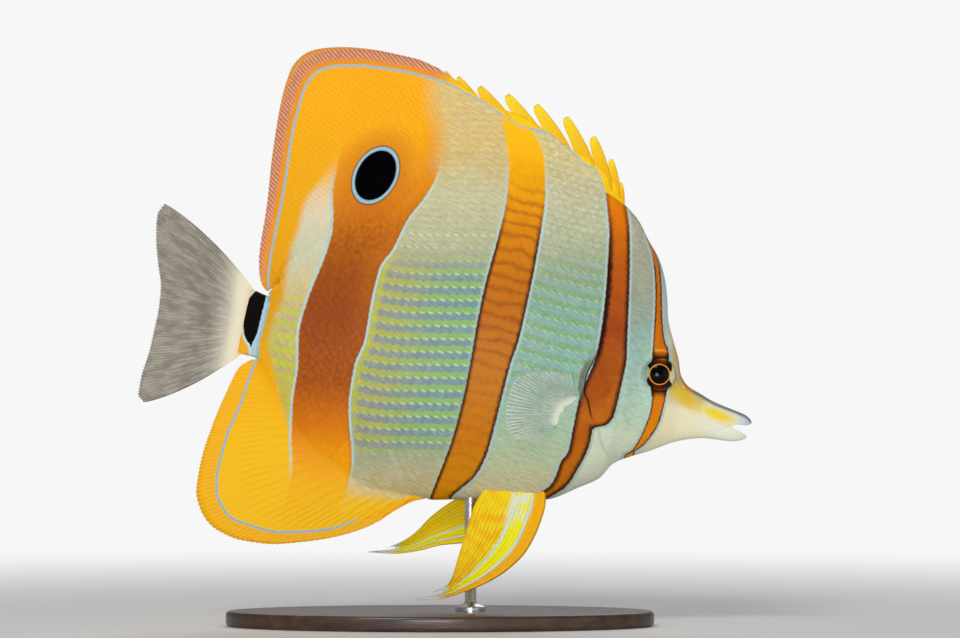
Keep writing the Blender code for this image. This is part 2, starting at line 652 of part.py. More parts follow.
def build():
    """Clears the scene and makes every part."""
    for obj in list(bpy.data.objects):
        bpy.data.objects.remove(obj)
    for name in ("butterflyfish", "cutters"):
        bpy.context.scene.collection.children.link(bpy.data.collections.new(name))
    pose = bpy.data.objects.new("pose", None)
    pose.location = Vector(POSE_PLACE) * MM
    pose.rotation_euler = (0, math.radians(PITCH_DEG), 0)
    bpy.data.collections["butterflyfish"].objects.link(pose)

    tail_stalk()
    trunk()
    head()
    jaw("upper_jaw", UPPER_JAW_FLOOR, UPPER_JAW_TOP)
    jaw("lower_jaw", LOWER_JAW_TOP, LOWER_JAW_FLOOR)
    dorsal_fin_spiny()
    dorsal_fin_soft()
    anal_fin()
    caudal_fin()
    cutter = body_cutter()
    for side in SIDES:
        eye(side)
        gill_cover(side)
        pectoral_fin(side, cutter)
        pelvic_fin(side, cutter)
    stand_rod()
    stand_base()
    for obj in bpy.data.collections["cutters"].objects:
        obj.hide_render = True
        obj.display_type = "WIRE"
    bpy.context.view_layer.update()


build()
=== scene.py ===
# %% [markdown]
# # A copperband butterflyfish on its display stand
#
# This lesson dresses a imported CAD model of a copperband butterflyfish, about 160 mm long. The fish hangs nose
# down on a thin steel rod over an oval wooden base. The CAD gives every size and place. Here the flesh becomes
# one smooth skin with its fins, and then come the scales, the eyes, the clear fins, the colours and the studio.

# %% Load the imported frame
import json
import math

import bmesh
import bpy
import numpy as np
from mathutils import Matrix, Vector
from mathutils.bvhtree import BVHTree

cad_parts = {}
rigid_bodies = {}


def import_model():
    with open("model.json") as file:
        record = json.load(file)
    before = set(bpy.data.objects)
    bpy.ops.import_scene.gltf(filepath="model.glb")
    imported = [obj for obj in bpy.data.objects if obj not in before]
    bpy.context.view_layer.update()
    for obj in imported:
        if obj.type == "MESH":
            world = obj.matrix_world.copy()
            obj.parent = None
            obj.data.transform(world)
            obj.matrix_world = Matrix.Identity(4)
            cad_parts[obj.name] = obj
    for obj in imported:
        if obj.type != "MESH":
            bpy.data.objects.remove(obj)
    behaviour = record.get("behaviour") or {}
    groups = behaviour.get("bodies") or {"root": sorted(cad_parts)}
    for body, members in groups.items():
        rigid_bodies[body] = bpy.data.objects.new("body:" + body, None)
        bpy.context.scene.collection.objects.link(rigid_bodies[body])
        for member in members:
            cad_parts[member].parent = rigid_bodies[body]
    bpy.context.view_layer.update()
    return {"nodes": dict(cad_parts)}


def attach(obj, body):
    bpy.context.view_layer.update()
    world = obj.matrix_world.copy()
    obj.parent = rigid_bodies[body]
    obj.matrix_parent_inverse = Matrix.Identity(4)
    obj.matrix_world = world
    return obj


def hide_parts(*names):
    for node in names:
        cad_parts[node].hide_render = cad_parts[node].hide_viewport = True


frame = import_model()
bpy.context.scene.view_settings.view_transform = "Standard"
print("nodes:", sorted(frame["nodes"]))

# %% [markdown]
# A fish is easiest to describe along its own axis: u runs from the tail root to the snout, v up its side and y to
# its left, in millimetres. The whole frame is then tipped nose down and moved to its place over the stand. Keeping
# that one turn in one function means that no other number in the lesson has to know about the pose.

# %% The fish's own frame
TAIL_ROOT = (-47.6, 78.7)
PITCH = math.radians(12.0)
MM = 0.001
SIDES = {"right": -1, "left": 1}


def place(u, y, v):
    """Points of the fish's own frame, in millimetres, as rows of x, y, z in metres."""
    u, y, v = np.broadcast_arrays(u, y, v)
    x = TAIL_ROOT[0] + u * math.cos(PITCH) + v * math.sin(PITCH)
    z = TAIL_ROOT[1] - u * math.sin(PITCH) + v * math.cos(PITCH)
    return np.stack([x, y, z], axis=-1).reshape(-1, 3) * MM


def fish_frame(points):
    """The u, y and v, in millimetres, of rows of x, y, z in metres."""
    x = points[:, 0] / MM - TAIL_ROOT[0]
    z = points[:, 2] / MM - TAIL_ROOT[1]
    return x * math.cos(PITCH) - z * math.sin(PITCH), points[:, 1] / MM, x * math.sin(PITCH) + z * math.cos(PITCH)


def curve(points):
    """A smooth function through (place, value) points that overshoots none of them."""
    places, values = np.array(sorted(points), float).T
    steps = np.diff(values) / np.diff(places)
    inner = [0.0 if a * b <= 0 else 2 * a * b / (a + b) for a, b in zip(steps, steps[1:])]
    slopes = np.array([steps[0], *inner, steps[-1]])

    def value(at):
        at = np.clip(at, places[0], places[-1])
        i = np.clip(np.searchsorted(places, at, "right") - 1, 0, len(steps) - 1)
        span = places[i + 1] - places[i]
        t = (at - places[i]) / span
        rise = values[i + 1] - values[i]
        return values[i] + t * t * (3 - 2 * t) * rise + span * t * (1 - t) * ((1 - t) * slopes[i] - t * slopes[i + 1])

    return value


def path(points):
    """A smooth path through points in the plane, by the share of its length from 0 to 1. Gives u and v."""
    points = np.array(points, float)
    reach = np.concatenate([[0], np.cumsum(np.linalg.norm(np.diff(points, axis=0), axis=1))])
    reach /= reach[-1]
    return curve(zip(reach, points[:, 0])), curve(zip(reach, points[:, 1]))


def smooth(value, low, high):
    """0 below low, 1 above high, and a soft step between them."""
    t = np.clip((value - low) / (high - low), 0, 1)
    return t * t * (3 - 2 * t)


def hump(distance, reach):
    """1 at no distance, and down a bell's side to a third at reach."""
    return np.exp(-((distance / reach) ** 2))

# %% [markdown]
# The body of this fish is a deep, thin disc with a long snout. Six curves along u say it all: the back, the belly,
# the widest level, half the width there, and how quickly the sides close in above and below. They are the curves
# of the CAD, so the skin lies where the solids are.

# %% The body's curves
BACK = (
    (-2.6, 8.3), (1.2, 7.6), (2.6, 14.5), (6.6, 24.5), (14.6, 36.0), (24.2, 46.0), (36.0, 53.0),
    (46.0, 56.0), (57.0, 57.0), (68.0, 56.0), (77.0, 54.0), (84.0, 52.0), (87.6, 50.2), (91.5, 47.3),
    (95.1, 42.9), (99.0, 38.4), (101.6, 33.6), (103.3, 28.6), (104.6, 23.6), (106.9, 18.7), (109.4, 13.9),
    (111.0, 9.8), (113.6, 7.4), (116.8, 6.3), (121.0, 4.9), (125.2, 4.2), (129.6, 3.4), (131.0, 2.6), (131.5, 2.0),
)
BELLY = (
    (-2.6, -7.9), (1.2, -8.1), (2.6, -9.6), (4.2, -11.6), (13.1, -21.5), (25.7, -30.4), (40.0, -35.0),
    (52.0, -35.0), (60.0, -33.5), (71.3, -31.1), (83.6, -28.5), (91.1, -23.7), (95.7, -20.3), (98.3, -16.0),
    (102.2, -13.3), (107.0, -10.7), (112.2, -7.4), (116.6, -5.5), (121.0, -4.4), (127.0, -4.0), (129.8, -3.2),
    (130.7, -2.6), (131.0, -2.2),
)
LEVEL = (
    (-2.6, 0.0), (20.0, 4.0), (50.0, 5.0), (85.0, 3.0), (96.0, 4.5), (105.0, 8.0), (110.0, 4.5),
    (121.0, 0.2), (126.6, -0.05),
)
WIDTH = (
    (-3.6, 1.35), (-2.6, 1.7), (1.2, 2.8), (10.0, 4.2), (30.0, 7.0), (50.0, 9.3), (70.0, 10.3), (86.0, 10.5),
    (96.0, 9.6), (102.0, 8.5), (106.0, 7.4), (109.5, 5.6), (113.0, 4.0), (117.0, 3.2), (121.0, 2.8),
    (126.0, 2.3), (129.5, 1.8), (130.6, 1.2), (131.5, 0.35),
)
EDGE = ((-2.6, 1.1), (40.0, 1.1), (80.0, 1.0), (90.0, 0.7), (121.0, 0.5), (126.0, 0.3), (131.5, 0.02))
CLOSE_UP = ((-2.6, 0.5), (3.0, 0.8), (20.0, 0.95), (75.0, 0.9), (88.0, 0.7), (100.0, 0.6), (121.0, 0.5))
CLOSE_DOWN = ((-2.6, 0.5), (3.0, 0.8), (20.0, 0.95), (45.0, 0.85), (56.0, 0.62), (106.0, 0.55), (121.0, 0.5))
back, belly, level, width, edge, close_up, close_down = map(
    curve, (BACK, BELLY, LEVEL, WIDTH, EDGE, CLOSE_UP, CLOSE_DOWN)
)
print("deepest body:", round(float(np.max(back(np.arange(120)) - belly(np.arange(120)))), 1), "mm")

# %% [markdown]
# The markings follow curves too. Every band edge, line and fold was measured on the fish's side and is written
# here as a few points (u, v). The head's relief uses some of them now, and the colours use all of them later.

# %% Lines on the fish's side
BAND_EDGES = {
    "rear_front": (
        (37.6, 53.4), (37.6, 48.1), (36.1, 42.4), (32.6, 35.0), (30.4, 26.5), (28.1, 21.2), (27.8, 13.9), (28.2, 2.0),
        (27.0, -5.0), (27.3, -12.9), (28.2, -18.1), (30.8, -26.9), (31.6, -30.7), (31.7, -33.4),
    ),
    "rear_rear": (
        (11.8, 38.6), (14.0, 27.0), (13.8, 23.0), (11.7, 10.5), (11.0, 2.3), (12.9, -10.6), (13.0, -14.6),
        (14.4, -25.0), (16.8, -35.2),
    ),
    "bar_rear": (
        (5.7, 34.6), (5.6, 26.6), (4.9, 21.1), (5.0, 13.1), (5.5, 7.9), (4.3, 2.3), (4.1, -3.1), (6.5, -9.3),
        (13.9, -25.1),
    ),
    "middle_rear": (
        (51.1, 66.2), (54.4, 58.3), (55.8, 53.3), (56.9, 42.8), (55.9, 18.6), (56.5, -5.4), (56.1, -16.1),
        (53.5, -34.1),
    ),
    "middle_front": (
        (58.8, 65.2), (62.3, 61.3), (64.2, 57.7), (65.5, 52.7), (66.6, 47.6), (67.2, 39.7), (67.6, 23.7),
        (67.5, 11.7), (66.6, 3.5), (65.6, -19.5), (64.2, -25.6), (58.9, -33.2),
    ),
    "shoulder_rear": (
        (81.9, 52.2), (85.1, 40.8), (88.0, 12.0), (85.9, -2.9), (86.1, -15.1), (84.7, -18.6), (84.3, -22.2),
        (83.4, -25.0), (81.2, -27.4),
    ),
    "shoulder_front": (
        (87.6, 50.7), (89.7, 44.5), (95.2, 14.9), (96.0, 9.7), (95.9, 0.3), (95.7, -3.7), (94.2, -6.6),
        (91.0, -8.2), (91.1, -11.4), (88.6, -22.1), (87.3, -24.7), (83.6, -28.5),
    ),
    "eye_rear": (
        (94.1, 44.0), (96.9, 39.3), (99.6, 30.5), (103.8, 4.7), (104.6, 2.2), (104.8, -0.4), (104.1, -5.9),
        (102.4, -11.6), (100.8, -13.0),
    ),
    "eye_front": (
        (96.1, 43.1), (99.8, 35.9), (103.3, 22.0), (104.6, 18.2), (106.3, 15.4), (108.0, 6.1), (107.9, -1.1),
        (107.5, -3.9), (105.0, -9.8), (103.2, -11.7),
    ),
    "stalk_rear": ((-2.4, 8.6), (-4.2, 4.5), (-3.9, 0.5), (-2.8, -3.3), (-0.6, -6.0), (0.2, -8.5)),
    "stalk_front": ((0.5, 7.6), (0.3, -1.3), (-0.6, -6.0), (-0.9, -8.5)),
}
RIM_LINE = (
    (81.9, 52.2), (79.3, 56.9), (77.6, 58.5), (74.8, 59.2), (71.7, 61.2), (62.3, 65.3), (58.8, 65.2), (45.0, 69.6),
    (33.2, 72.5), (24.0, 73.0), (14.5, 72.4), (4.3, 70.1), (0.4, 67.2), (-0.5, 65.4), (-1.3, 62.5), (-1.7, 57.1),
    (-1.9, 53.0), (-0.9, 33.2), (-0.8, 19.9), (-0.1, 12.0), (0.9, 9.0), (1.3, 5.0), (1.1, -1.0), (0.8, -5.0),
    (1.4, -8.0), (0.9, -10.5), (-0.6, -22.3), (-2.1, -29.0), (-2.6, -39.3), (-1.7, -45.0), (1.4, -49.4),
    (3.3, -50.9), (6.2, -51.6), (14.3, -52.3), (22.0, -50.9), (29.6, -48.5), (37.8, -43.3), (46.0, -37.0),
)
GILL_SLIT = (
    (89.4, 15.5), (88.4, 12.5), (87.6, 9.0), (86.6, 4.5), (87.0, 1.0), (88.6, -1.6), (90.0, -4.9), (92.6, -8.4),
    (94.2, -11.8), (98.3, -16.0),
)
CHEEK_FOLD = ((95.6, 15.0), (96.6, 6.0), (97.0, -2.0), (98.0, -7.5), (101.5, -10.4), (106.0, -8.6))
LIP_FOLD = ((114.6, 6.6), (114.4, 4.4), (115.6, 2.0))
MOUTH_FOLD = ((127.4, -0.3), (125.4, -0.9), (123.6, -2.4))
EYE_CENTRE = (105.1, 9.2)
EYE_RADIUS = 4.35
NOSTRILS = ((110.3, 8.9), (111.7, 7.1))
OCELLUS, OCELLUS_HALVES, OCELLUS_TILT = (22.0, 44.6), (4.85, 6.97), math.radians(-17)


def line_distance(points, u, v):
    """Signed distance from a line of points, in millimetres. It is positive on the line's left as it runs."""
    along, up = path(points)
    share = np.linspace(0, 1, 12 * len(points))
    line = np.stack([along(share), up(share)], axis=1)
    at = np.stack([u, v], axis=1)
    best, signed = np.full(len(u), np.inf), np.zeros(len(u))
    for a, b in zip(line, line[1:]):
        step = b - a
        t = np.clip((at - a) @ step / (step @ step), 0, 1)
        off = at - a - t[:, None] * step
        away = np.hypot(off[:, 0], off[:, 1])
        nearer = away < best
        best[nearer] = away[nearer]
        signed[nearer] = (np.sign(step[0] * off[:, 1] - step[1] * off[:, 0]) * away)[nearer]
    return signed

# %% [markdown]
# The skin is a height field laid on the fish's side: each point (u, v) has a distance y from the middle plane. To
# that the head adds its relief, all as small smooth steps: the gill cover stands proud in front of its slit, the
# cheek has a fold, a rim rings the eye socket, and two pits make each nostril. A modelled step catches light from
# every side, which a painted one doesn't.

# %% Half the width, and the head's relief
def closed_in(u, v):
    """How far out the side is at (u, v), as a share from the edge, 0, to the widest level, 1."""
    reach = np.where(v > level(u), back(u) - level(u), level(u) - belly(u))
    t = np.clip(np.abs(v - level(u)) / np.maximum(reach, 0.01), 0, 1)
    return (1 - t * t) ** np.where(v > level(u), close_up(u), close_down(u))


def half_width(u, v):
    """Half the width of the plain body, in millimetres."""
    return edge(u) + (width(u) - edge(u)) * closed_in(u, v)


def relief(u, v):
    """How much the skin of the head stands out, in millimetres."""
    out = np.zeros(len(u))
    near = np.flatnonzero((u > 78) & (u < 128))
    a, b = u[near], v[near]
    slit = line_distance(GILL_SLIT, a, b)
    cover = 0.5 * smooth(slit, -0.25, 0.35) * (1 - smooth(slit, 1.5, 9))
    groove = -0.5 * hump(slit + 0.35, 0.4)
    ends = smooth(b, -15.5, -12) * (1 - smooth(b, 11, 16))
    cheek = line_distance(CHEEK_FOLD, a, b)
    fold = 0.22 * smooth(cheek, -0.5, 0.3) * (1 - smooth(cheek, 0.6, 5)) - 0.12 * hump(cheek, 0.45)
    fold *= smooth(b, -12, -8) * (1 - smooth(b, 8, 15))
    r = np.hypot(a - EYE_CENTRE[0], b - EYE_CENTRE[1])
    socket = -1.5 * (1 - smooth(r, EYE_RADIUS - 0.9, EYE_RADIUS + 0.35)) - 0.35 * (1 - smooth(r, 4.4, 8.0))
    rim = 0.3 * hump(r - EYE_RADIUS - 0.75, 0.45)
    pits = np.zeros(len(a))
    for pit_u, pit_v in NOSTRILS:
        away = np.hypot(a - pit_u, b - pit_v)
        pits += 0.22 * hump(away - 0.75, 0.25) - 0.7 * hump(away, 0.42)
    lip_fold = -0.16 * hump(line_distance(LIP_FOLD, a, b), 0.4)
    corner = -0.2 * hump(line_distance(MOUTH_FOLD, a, b), 0.35)
    out[near] = ends * (cover + groove) + fold + socket + rim + pits + lip_fold + corner
    return out * smooth(closed_in(u, v), 0.05, 0.4)


COAT_DEPTH = 0.12


def skin_at(u, v):
    """Half the width of the finished skin, which lies a little inside the solids to leave room for scales."""
    return half_width(u, v) + relief(u, v) - COAT_DEPTH * closed_in(u, v)


print("skin at the widest:", round(float(skin_at(np.array([80.0]), np.array([3.0]))[0]), 2), "mm from the middle")

# %% [markdown]
# The dorsal and anal fins are part of the same skin. Real fins grow out of the back without a seam, so the grid
# that wraps the body goes on into them: each column of the body is continued along a fin ray to the fin's edge. A
# ray that leans back ends further along the edge than it starts along the root, and the lean curves say how far.

# %% The fins' edges and the lean of their rays
SPINY_EDGE = (
    (87.3, 51.2), (85.0, 54.6), (82.0, 56.6), (76.3, 60.6), (70.0, 62.4), (61.5, 66.3), (54.7, 68.2),
    (48.6, 69.1), (41.4, 71.6), (37.0, 73.7), (32.5, 75.5),
)
SOFT_EDGE = (
    (32.5, 75.5), (25.6, 76.8), (17.6, 76.9), (9.7, 76.3), (2.1, 74.6), (-2.8, 72.0), (-5.6, 66.9),
    (-6.3, 58.8), (-5.7, 45.6), (-4.2, 30.0), (-3.7, 19.3), (-2.8, 14.1), (-1.2, 10.4), (0.5, 9.0),
)
ANAL_EDGE = (
    (50.8, -35.9), (48.6, -37.0), (45.1, -40.0), (41.6, -43.6), (37.2, -46.9), (30.0, -50.6),
    (23.8, -52.9), (13.7, -55.6), (7.1, -56.0), (0.1, -54.5), (-4.6, -50.6), (-7.0, -45.0),
    (-7.3, -38.0), (-6.3, -28.0), (-4.4, -18.3), (-2.6, -11.8), (0.0, -9.3),
)
SOFT_LEAN = ((0.0, 0.0), (0.2, 0.2), (0.5, 0.41), (0.8, 0.67), (1.0, 1.0))
ANAL_LEAN = ((0.0, 0.0), (0.12, 0.22), (0.31, 0.46), (0.59, 0.73), (1.0, 1.0))
EVEN = ((0.0, 0.0), (1.0, 1.0))
FIN_REAR, SOFT_FRONT, SPINY_FRONT, ANAL_FRONT = 1.9, 46.2, 87.2, 53.0
MOUTH_CORNER, UPPER_TIP, LOWER_TIP = 126.6, 131.4, 131.0
SOFT_RAYS, ANAL_RAYS = 29, 23


def line_lengths(line, start, end):
    """Close places u from start to end, and how far along a body line each of them lies."""
    u = np.linspace(start, end, 400)
    return u, np.concatenate([[0], np.cumsum(np.hypot(np.diff(u), np.diff(line(u))))])


def length_share(line, start, end, at):
    """How far along a body line, from start to end, each u is, as a share of the line's length."""
    u, reach = line_lengths(line, start, end)
    order = np.argsort(u)
    return np.interp(at, u[order], (reach / reach[-1])[order])


def even_stations(line, start, end, cells):
    """Stations between two places that are evenly spaced along a body line."""
    u, reach = line_lengths(line, start, end)
    return np.interp(np.linspace(0, reach[-1], cells + 1), reach, u)


def ridges(phase, t):
    """How high a fin's surface stands on its rays, from 0 to 1. Each ray forks at a third and two thirds."""
    one = np.cos(np.pi * phase) ** 6
    two = np.cos(2 * np.pi * (phase - 0.25)) ** 4
    four = np.cos(4 * np.pi * (phase - 0.125)) ** 2
    first, second = smooth(t, 0.25, 0.5), smooth(t, 0.6, 0.8)
    return one * (1 - first) + (two * (1 - second) + four * second) * first

# %% [markdown]
# Now the grid itself. Stations run from the tail to the mouth, closer where a fin needs its rays, and rows run
# from belly to back. Behind the mouth's corner a ring is whole. In front of it the rows above the middle wrap the
# upper jaw and the rows below it the lower one. Both sides share their indices, so the two halves, the fins and
# the jaws join into one closed surface with nothing to merge.

# %% Stations and rows
TAIL_END = -3.6
STATIONS = np.concatenate([
    np.linspace(TAIL_END, FIN_REAR, 15)[:-1],
    even_stations(back, FIN_REAR, SOFT_FRONT, 5 * SOFT_RAYS)[:-1],
    np.linspace(SOFT_FRONT, SPINY_FRONT, 80)[:-1],
    np.linspace(SPINY_FRONT, MOUTH_CORNER, 119),
])
JAW_CELLS = 14
HALF_ROWS = 38
spread = np.linspace(0, 1, HALF_ROWS + 1)
half_rows = 0.3 * spread + 0.7 * (1.5 * spread - 0.5 * spread**3)
ROWS = np.concatenate([-half_rows[::-1], half_rows[1:]])
jaw_share = np.sin(np.linspace(0, math.pi / 2, JAW_CELLS + 1))[1:]
print(len(STATIONS) + JAW_CELLS, "stations by", len(ROWS), "rows")


# %% The skin's points and faces
def store(mesh, key, values, kind="FLOAT"):
    """Keeps a number, or a vector, for each point of a mesh."""
    layer = mesh.attributes.new(key, kind, "POINT")
    layer.data.foreach_set("value" if kind == "FLOAT" else "vector", np.array(values, np.float32).ravel())


class Shell:
    """Collects the points and faces of one closed surface."""

    def __init__(self):
        self.points, self.faces, self.count = [], [], 0
        self.rays = {"ray": [], "fin": []}

    def add(self, u, y, v, ray=0.0, fin=0.0):
        """Adds points and returns their indices in the shape of u. A fin's points also get their ray and height."""
        u, y, v, ray, fin = np.broadcast_arrays(u, y, v, ray, fin)
        self.points.append(np.stack([u, y, v], axis=-1).reshape(-1, 3))
        self.rays["ray"].append(ray.ravel())
        self.rays["fin"].append(fin.ravel())
        made = np.arange(self.count, self.count + u.size).reshape(u.shape)
        self.count += u.size
        return made

    def quads(self, grid):
        """Faces over a grid of indices."""
        corners = (grid[:-1, :-1], grid[1:, :-1], grid[1:, 1:], grid[:-1, 1:])
        self.faces += np.stack([c.ravel() for c in corners], axis=1).tolist()

    def mesh(self, name):
        """The finished mesh in its place, with its faces turned outwards."""
        points = np.concatenate(self.points)
        mesh = bpy.data.meshes.new(name)
        mesh.from_pydata(place(*points.T).tolist(), [], self.faces)
        for key, values in self.rays.items():
            store(mesh, key, np.concatenate(values))
        return turned_out(mesh)


def turned_out(mesh):
    """Turns the faces of a closed mesh outwards and shades it smooth."""
    bm = bmesh.new()
    bm.from_mesh(mesh)
    bmesh.ops.recalc_face_normals(bm, faces=bm.faces)
    loose_edges = sum(len(e.link_faces) != 2 for e in bm.edges)
    volume = bm.calc_volume(signed=True)
    bm.to_mesh(mesh)
    bm.free()
    mesh.shade_smooth()
    triangles = sum(len(p.vertices) - 2 for p in mesh.polygons)
    print(f"{mesh.name}: {triangles} triangles, {loose_edges} open edges, {volume * 1e9:.0f} mm3")
    return mesh

# %% [markdown]
# One function gives the points of a side of the body, and one those of a side of a jaw, which is open towards the
# mouth: a row of points at its inner face meets the same row of the other side.

# %% Grids of the body and the jaws
def body_grid(shell, side):
    """One side of the body, up to the mouth's corner: indices by station and row."""
    u = np.repeat(STATIONS[:, None], len(ROWS), axis=1)
    reach = np.where(ROWS > 0, back(u) - level(u), level(u) - belly(u))
    v = level(u) + ROWS * reach
    y = skin_at(u.ravel(), v.ravel()).reshape(u.shape)
    return shell.add(u, side * y, v)


UPPER_FLOOR = curve(((126.6, -0.05), (127.4, 0.45), (130.4, 0.9), (131.5, 1.6)))
LOWER_ROOF = curve(((126.6, -0.05), (127.2, -0.6), (129.2, -1.0), (131.0, -1.8)))


def jaw_grid(shell, side, body, upper):
    """One side of a jaw, from the mouth's corner to its tip, joined to the body's last station."""
    tip = UPPER_TIP if upper else LOWER_TIP
    u = (MOUTH_CORNER + (tip - MOUTH_CORNER) * jaw_share)[:, None] * np.ones(HALF_ROWS + 1)
    meet = UPPER_FLOOR(u) if upper else LOWER_ROOF(u)
    far = back(u) if upper else belly(u)
    lip = 1 + 0.1 * hump(half_rows, 0.3)
    y = edge(u) + (width(u) - edge(u)) * np.sqrt(1 - half_rows**2) * lip
    made = shell.add(u, side * y, meet + half_rows * (far - meet))
    first = body[-1, HALF_ROWS:] if upper else body[-1, HALF_ROWS::-1]
    return np.vstack([first, made])

# %% [markdown]
# A fin's columns stand on the body's outermost row, two for each of the body's own, so that a ray has enough points
# to be round. Each column runs from its root to its place on the fin's edge, thins towards it and rises on a ray.

# %% Grids of the fins
FIN_ROWS, FIN_EDGE = 20, 0.2
RAY_HEIGHT, ANAL_SPINE_HEIGHT, ANAL_SPINES_END = 0.13, 0.3, 47.5
CROWN_RISE = 0.35


def fin_grid(shell, side, body_row, columns, margin, phase, strength):
    """One side of a fin. Its even columns start at the body's points and the others between them."""
    t = (np.arange(1, FIN_ROWS + 1) / FIN_ROWS)[None, :]
    root_u, root_v, root_y = columns
    ridge = ridges(phase[:, None], t) * strength * smooth(t, 0.0, 0.25)
    reach = 1 - 0.35 * (1 - ridges(phase[:, None], 1.0)) * t**8 / np.maximum(margin[2][:, None], 4)
    u = root_u[:, None] + (margin[0] - root_u)[:, None] * t * reach
    v = root_v[:, None] + (margin[1] - root_v)[:, None] * t * reach
    y = FIN_EDGE + (root_y[:, None] - FIN_EDGE) * (1 - t) ** 2.2 + ridge
    made = shell.add(u, side * y, v, phase[:, None], t)
    starts = np.repeat(body_row, 2)[:-1]
    for c in range(0, len(root_u) - 2, 2):
        a, b = int(starts[c]), int(starts[c + 2])
        shell.faces += [[a, int(made[c + 1, 0]), int(made[c, 0])], [a, b, int(made[c + 2, 0]), int(made[c + 1, 0])]]
    shell.quads(made)
    return made


def doubled(values):
    """The values with one more between each two."""
    return np.interp(np.arange(2 * len(values) - 1) / 2, np.arange(len(values)), values)


def fin_columns(line, stations, pieces):
    """Roots, edge points and ray phases of a fin over the given stations."""
    u = doubled(stations)
    root = (u, line(u), edge(u))
    end_u, end_v, phase = np.zeros(len(u)), np.zeros(len(u)), np.zeros(len(u))
    for front, rear, outline, lean, rays in pieces:
        inside = (u <= front + 1e-9) & (u >= rear - 1e-9)
        share = length_share(line, front, rear, u[inside])
        along, up = path(outline)
        ends = curve(lean)(share)
        end_u[inside], end_v[inside], phase[inside] = along(ends), up(ends), share * rays - 0.5
    length = np.hypot(end_u - u, end_v - root[1])
    return root, (end_u, end_v, length), phase

# %% [markdown]
# What is left is to close the gaps: between the two sheets of a fin, along the bare back and belly, round the jaws
# and at the tail. Every strip uses points that are already there, and a row of middle points rounds the crest.

# %% Closing the skin
def bridge(shell, a, b):
    """Closes the gap between two rows of points with one strip."""
    shell.quads(np.stack([a, b]))


def crest(shell, left, right, u, v):
    """Closes a back, a belly or a jaw's edge with a rounded strip. Returns the middle points."""
    middle = shell.add(u, 0.0, v)
    bridge(shell, left, middle)
    bridge(shell, middle, right)
    return middle


def closing_fan(shell, ring, centre):
    """Closes a ring of points with triangles to one point."""
    middle = int(shell.add(*[np.array([c]) for c in centre])[0])
    shell.faces += [[int(a), int(b), middle] for a, b in zip(ring, np.roll(ring, -1))]


def add_fins(shell, right, left, upper):
    """Grows the fins of the back or the belly and rounds the bare rest. Gives the rest's rear and front middles."""
    if upper:
        line, row, out, front, spines_end, spine_height = back, -1, 1, SPINY_FRONT, SOFT_FRONT, 0.0
        pieces = (
            (SPINY_FRONT, SOFT_FRONT, SPINY_EDGE, EVEN, 0), (SOFT_FRONT, FIN_REAR, SOFT_EDGE, SOFT_LEAN, SOFT_RAYS),
        )
    else:
        line, row, out, front, spines_end, spine_height = belly, 0, -1, ANAL_FRONT, ANAL_SPINES_END, ANAL_SPINE_HEIGHT
        pieces = ((ANAL_FRONT, FIN_REAR, ANAL_EDGE, ANAL_LEAN, ANAL_RAYS),)
    finned = np.flatnonzero((STATIONS >= FIN_REAR - 1e-6) & (STATIONS <= front + 1e-6))
    root, margin, phase = fin_columns(line, STATIONS[finned], pieces)
    strength = np.where(root[0] > spines_end, spine_height, RAY_HEIGHT)[:, None]
    sheets = [
        fin_grid(shell, side, body[finned, row], root, margin, phase, strength)
        for body, side in ((right, -1), (left, 1))
    ]
    bridge(shell, sheets[0][:, -1], sheets[1][:, -1])
    for end, column in ((finned[0], 0), (finned[-1], -1)):
        bridge(shell, *(np.append(body[end, row], sheet[column]) for body, sheet in zip((right, left), sheets)))
    middles = []
    for part, at_fin in ((np.arange(finned[0] + 1), -1), (np.arange(finned[-1], len(STATIONS)), 0)):
        u, feet = STATIONS[part], (right[part, row], left[part, row])
        middle = crest(shell, *feet, u, line(u) + out * CROWN_RISE * edge(u))
        shell.faces.append([int(feet[0][at_fin]), int(feet[1][at_fin]), int(middle[at_fin])])
        middles.append(int(middle[-1 - at_fin]))
    return middles


def add_jaw(shell, right, left, upper, corner):
    """Adds both sides of a jaw, its face to the other jaw, its rounded outer edge and its tip."""
    line, out, tip, face = (back, 1, UPPER_TIP, UPPER_FLOOR) if upper else (belly, -1, LOWER_TIP, LOWER_ROOF)
    jaws = [jaw_grid(shell, side, body, upper) for side, body in ((-1, right), (1, left))]
    for jaw in jaws:
        shell.quads(jaw)
    bridge(shell, jaws[0][:, 0], jaws[1][:, 0])
    u = MOUTH_CORNER + (tip - MOUTH_CORNER) * jaw_share
    middle = np.append(corner, shell.add(u, 0.0, line(u) + out * CROWN_RISE * edge(u)))
    bridge(shell, jaws[0][:, -1], middle)
    bridge(shell, middle, jaws[1][:, -1])
    ring = np.concatenate([jaws[0][-1], [middle[-1]], jaws[1][-1][::-1]])
    closing_fan(shell, ring, (tip + 0.15, 0, float((line(tip) + face(tip)) / 2)))


def make_skin():
    shell = Shell()
    right, left = (body_grid(shell, side) for side in SIDES.values())
    shell.quads(right)
    shell.quads(left)
    (tail_top, upper_corner), (tail_foot, lower_corner) = (
        add_fins(shell, right, left, upper) for upper in (True, False)
    )
    ring = [tail_top, *left[0, ::-1].tolist(), tail_foot, *right[0].tolist()]
    closing_fan(shell, np.array(ring), (TAIL_END - 0.3, 0, 0.3))
    add_jaw(shell, right, left, True, upper_corner)
    add_jaw(shell, right, left, False, lower_corner)
    return shell.mesh("skin")


skin_mesh = make_skin()

# %% [markdown]
# Colours need numbers to read. Every point of the skin gets a few attributes: its distance ahead of each band edge,
# its distance outside the fins' rim line, its place on the lattice of scales and its place along the fin rays.
# Distances change smoothly over the mesh, so the material can cut them into crisp lines finer than the faces.

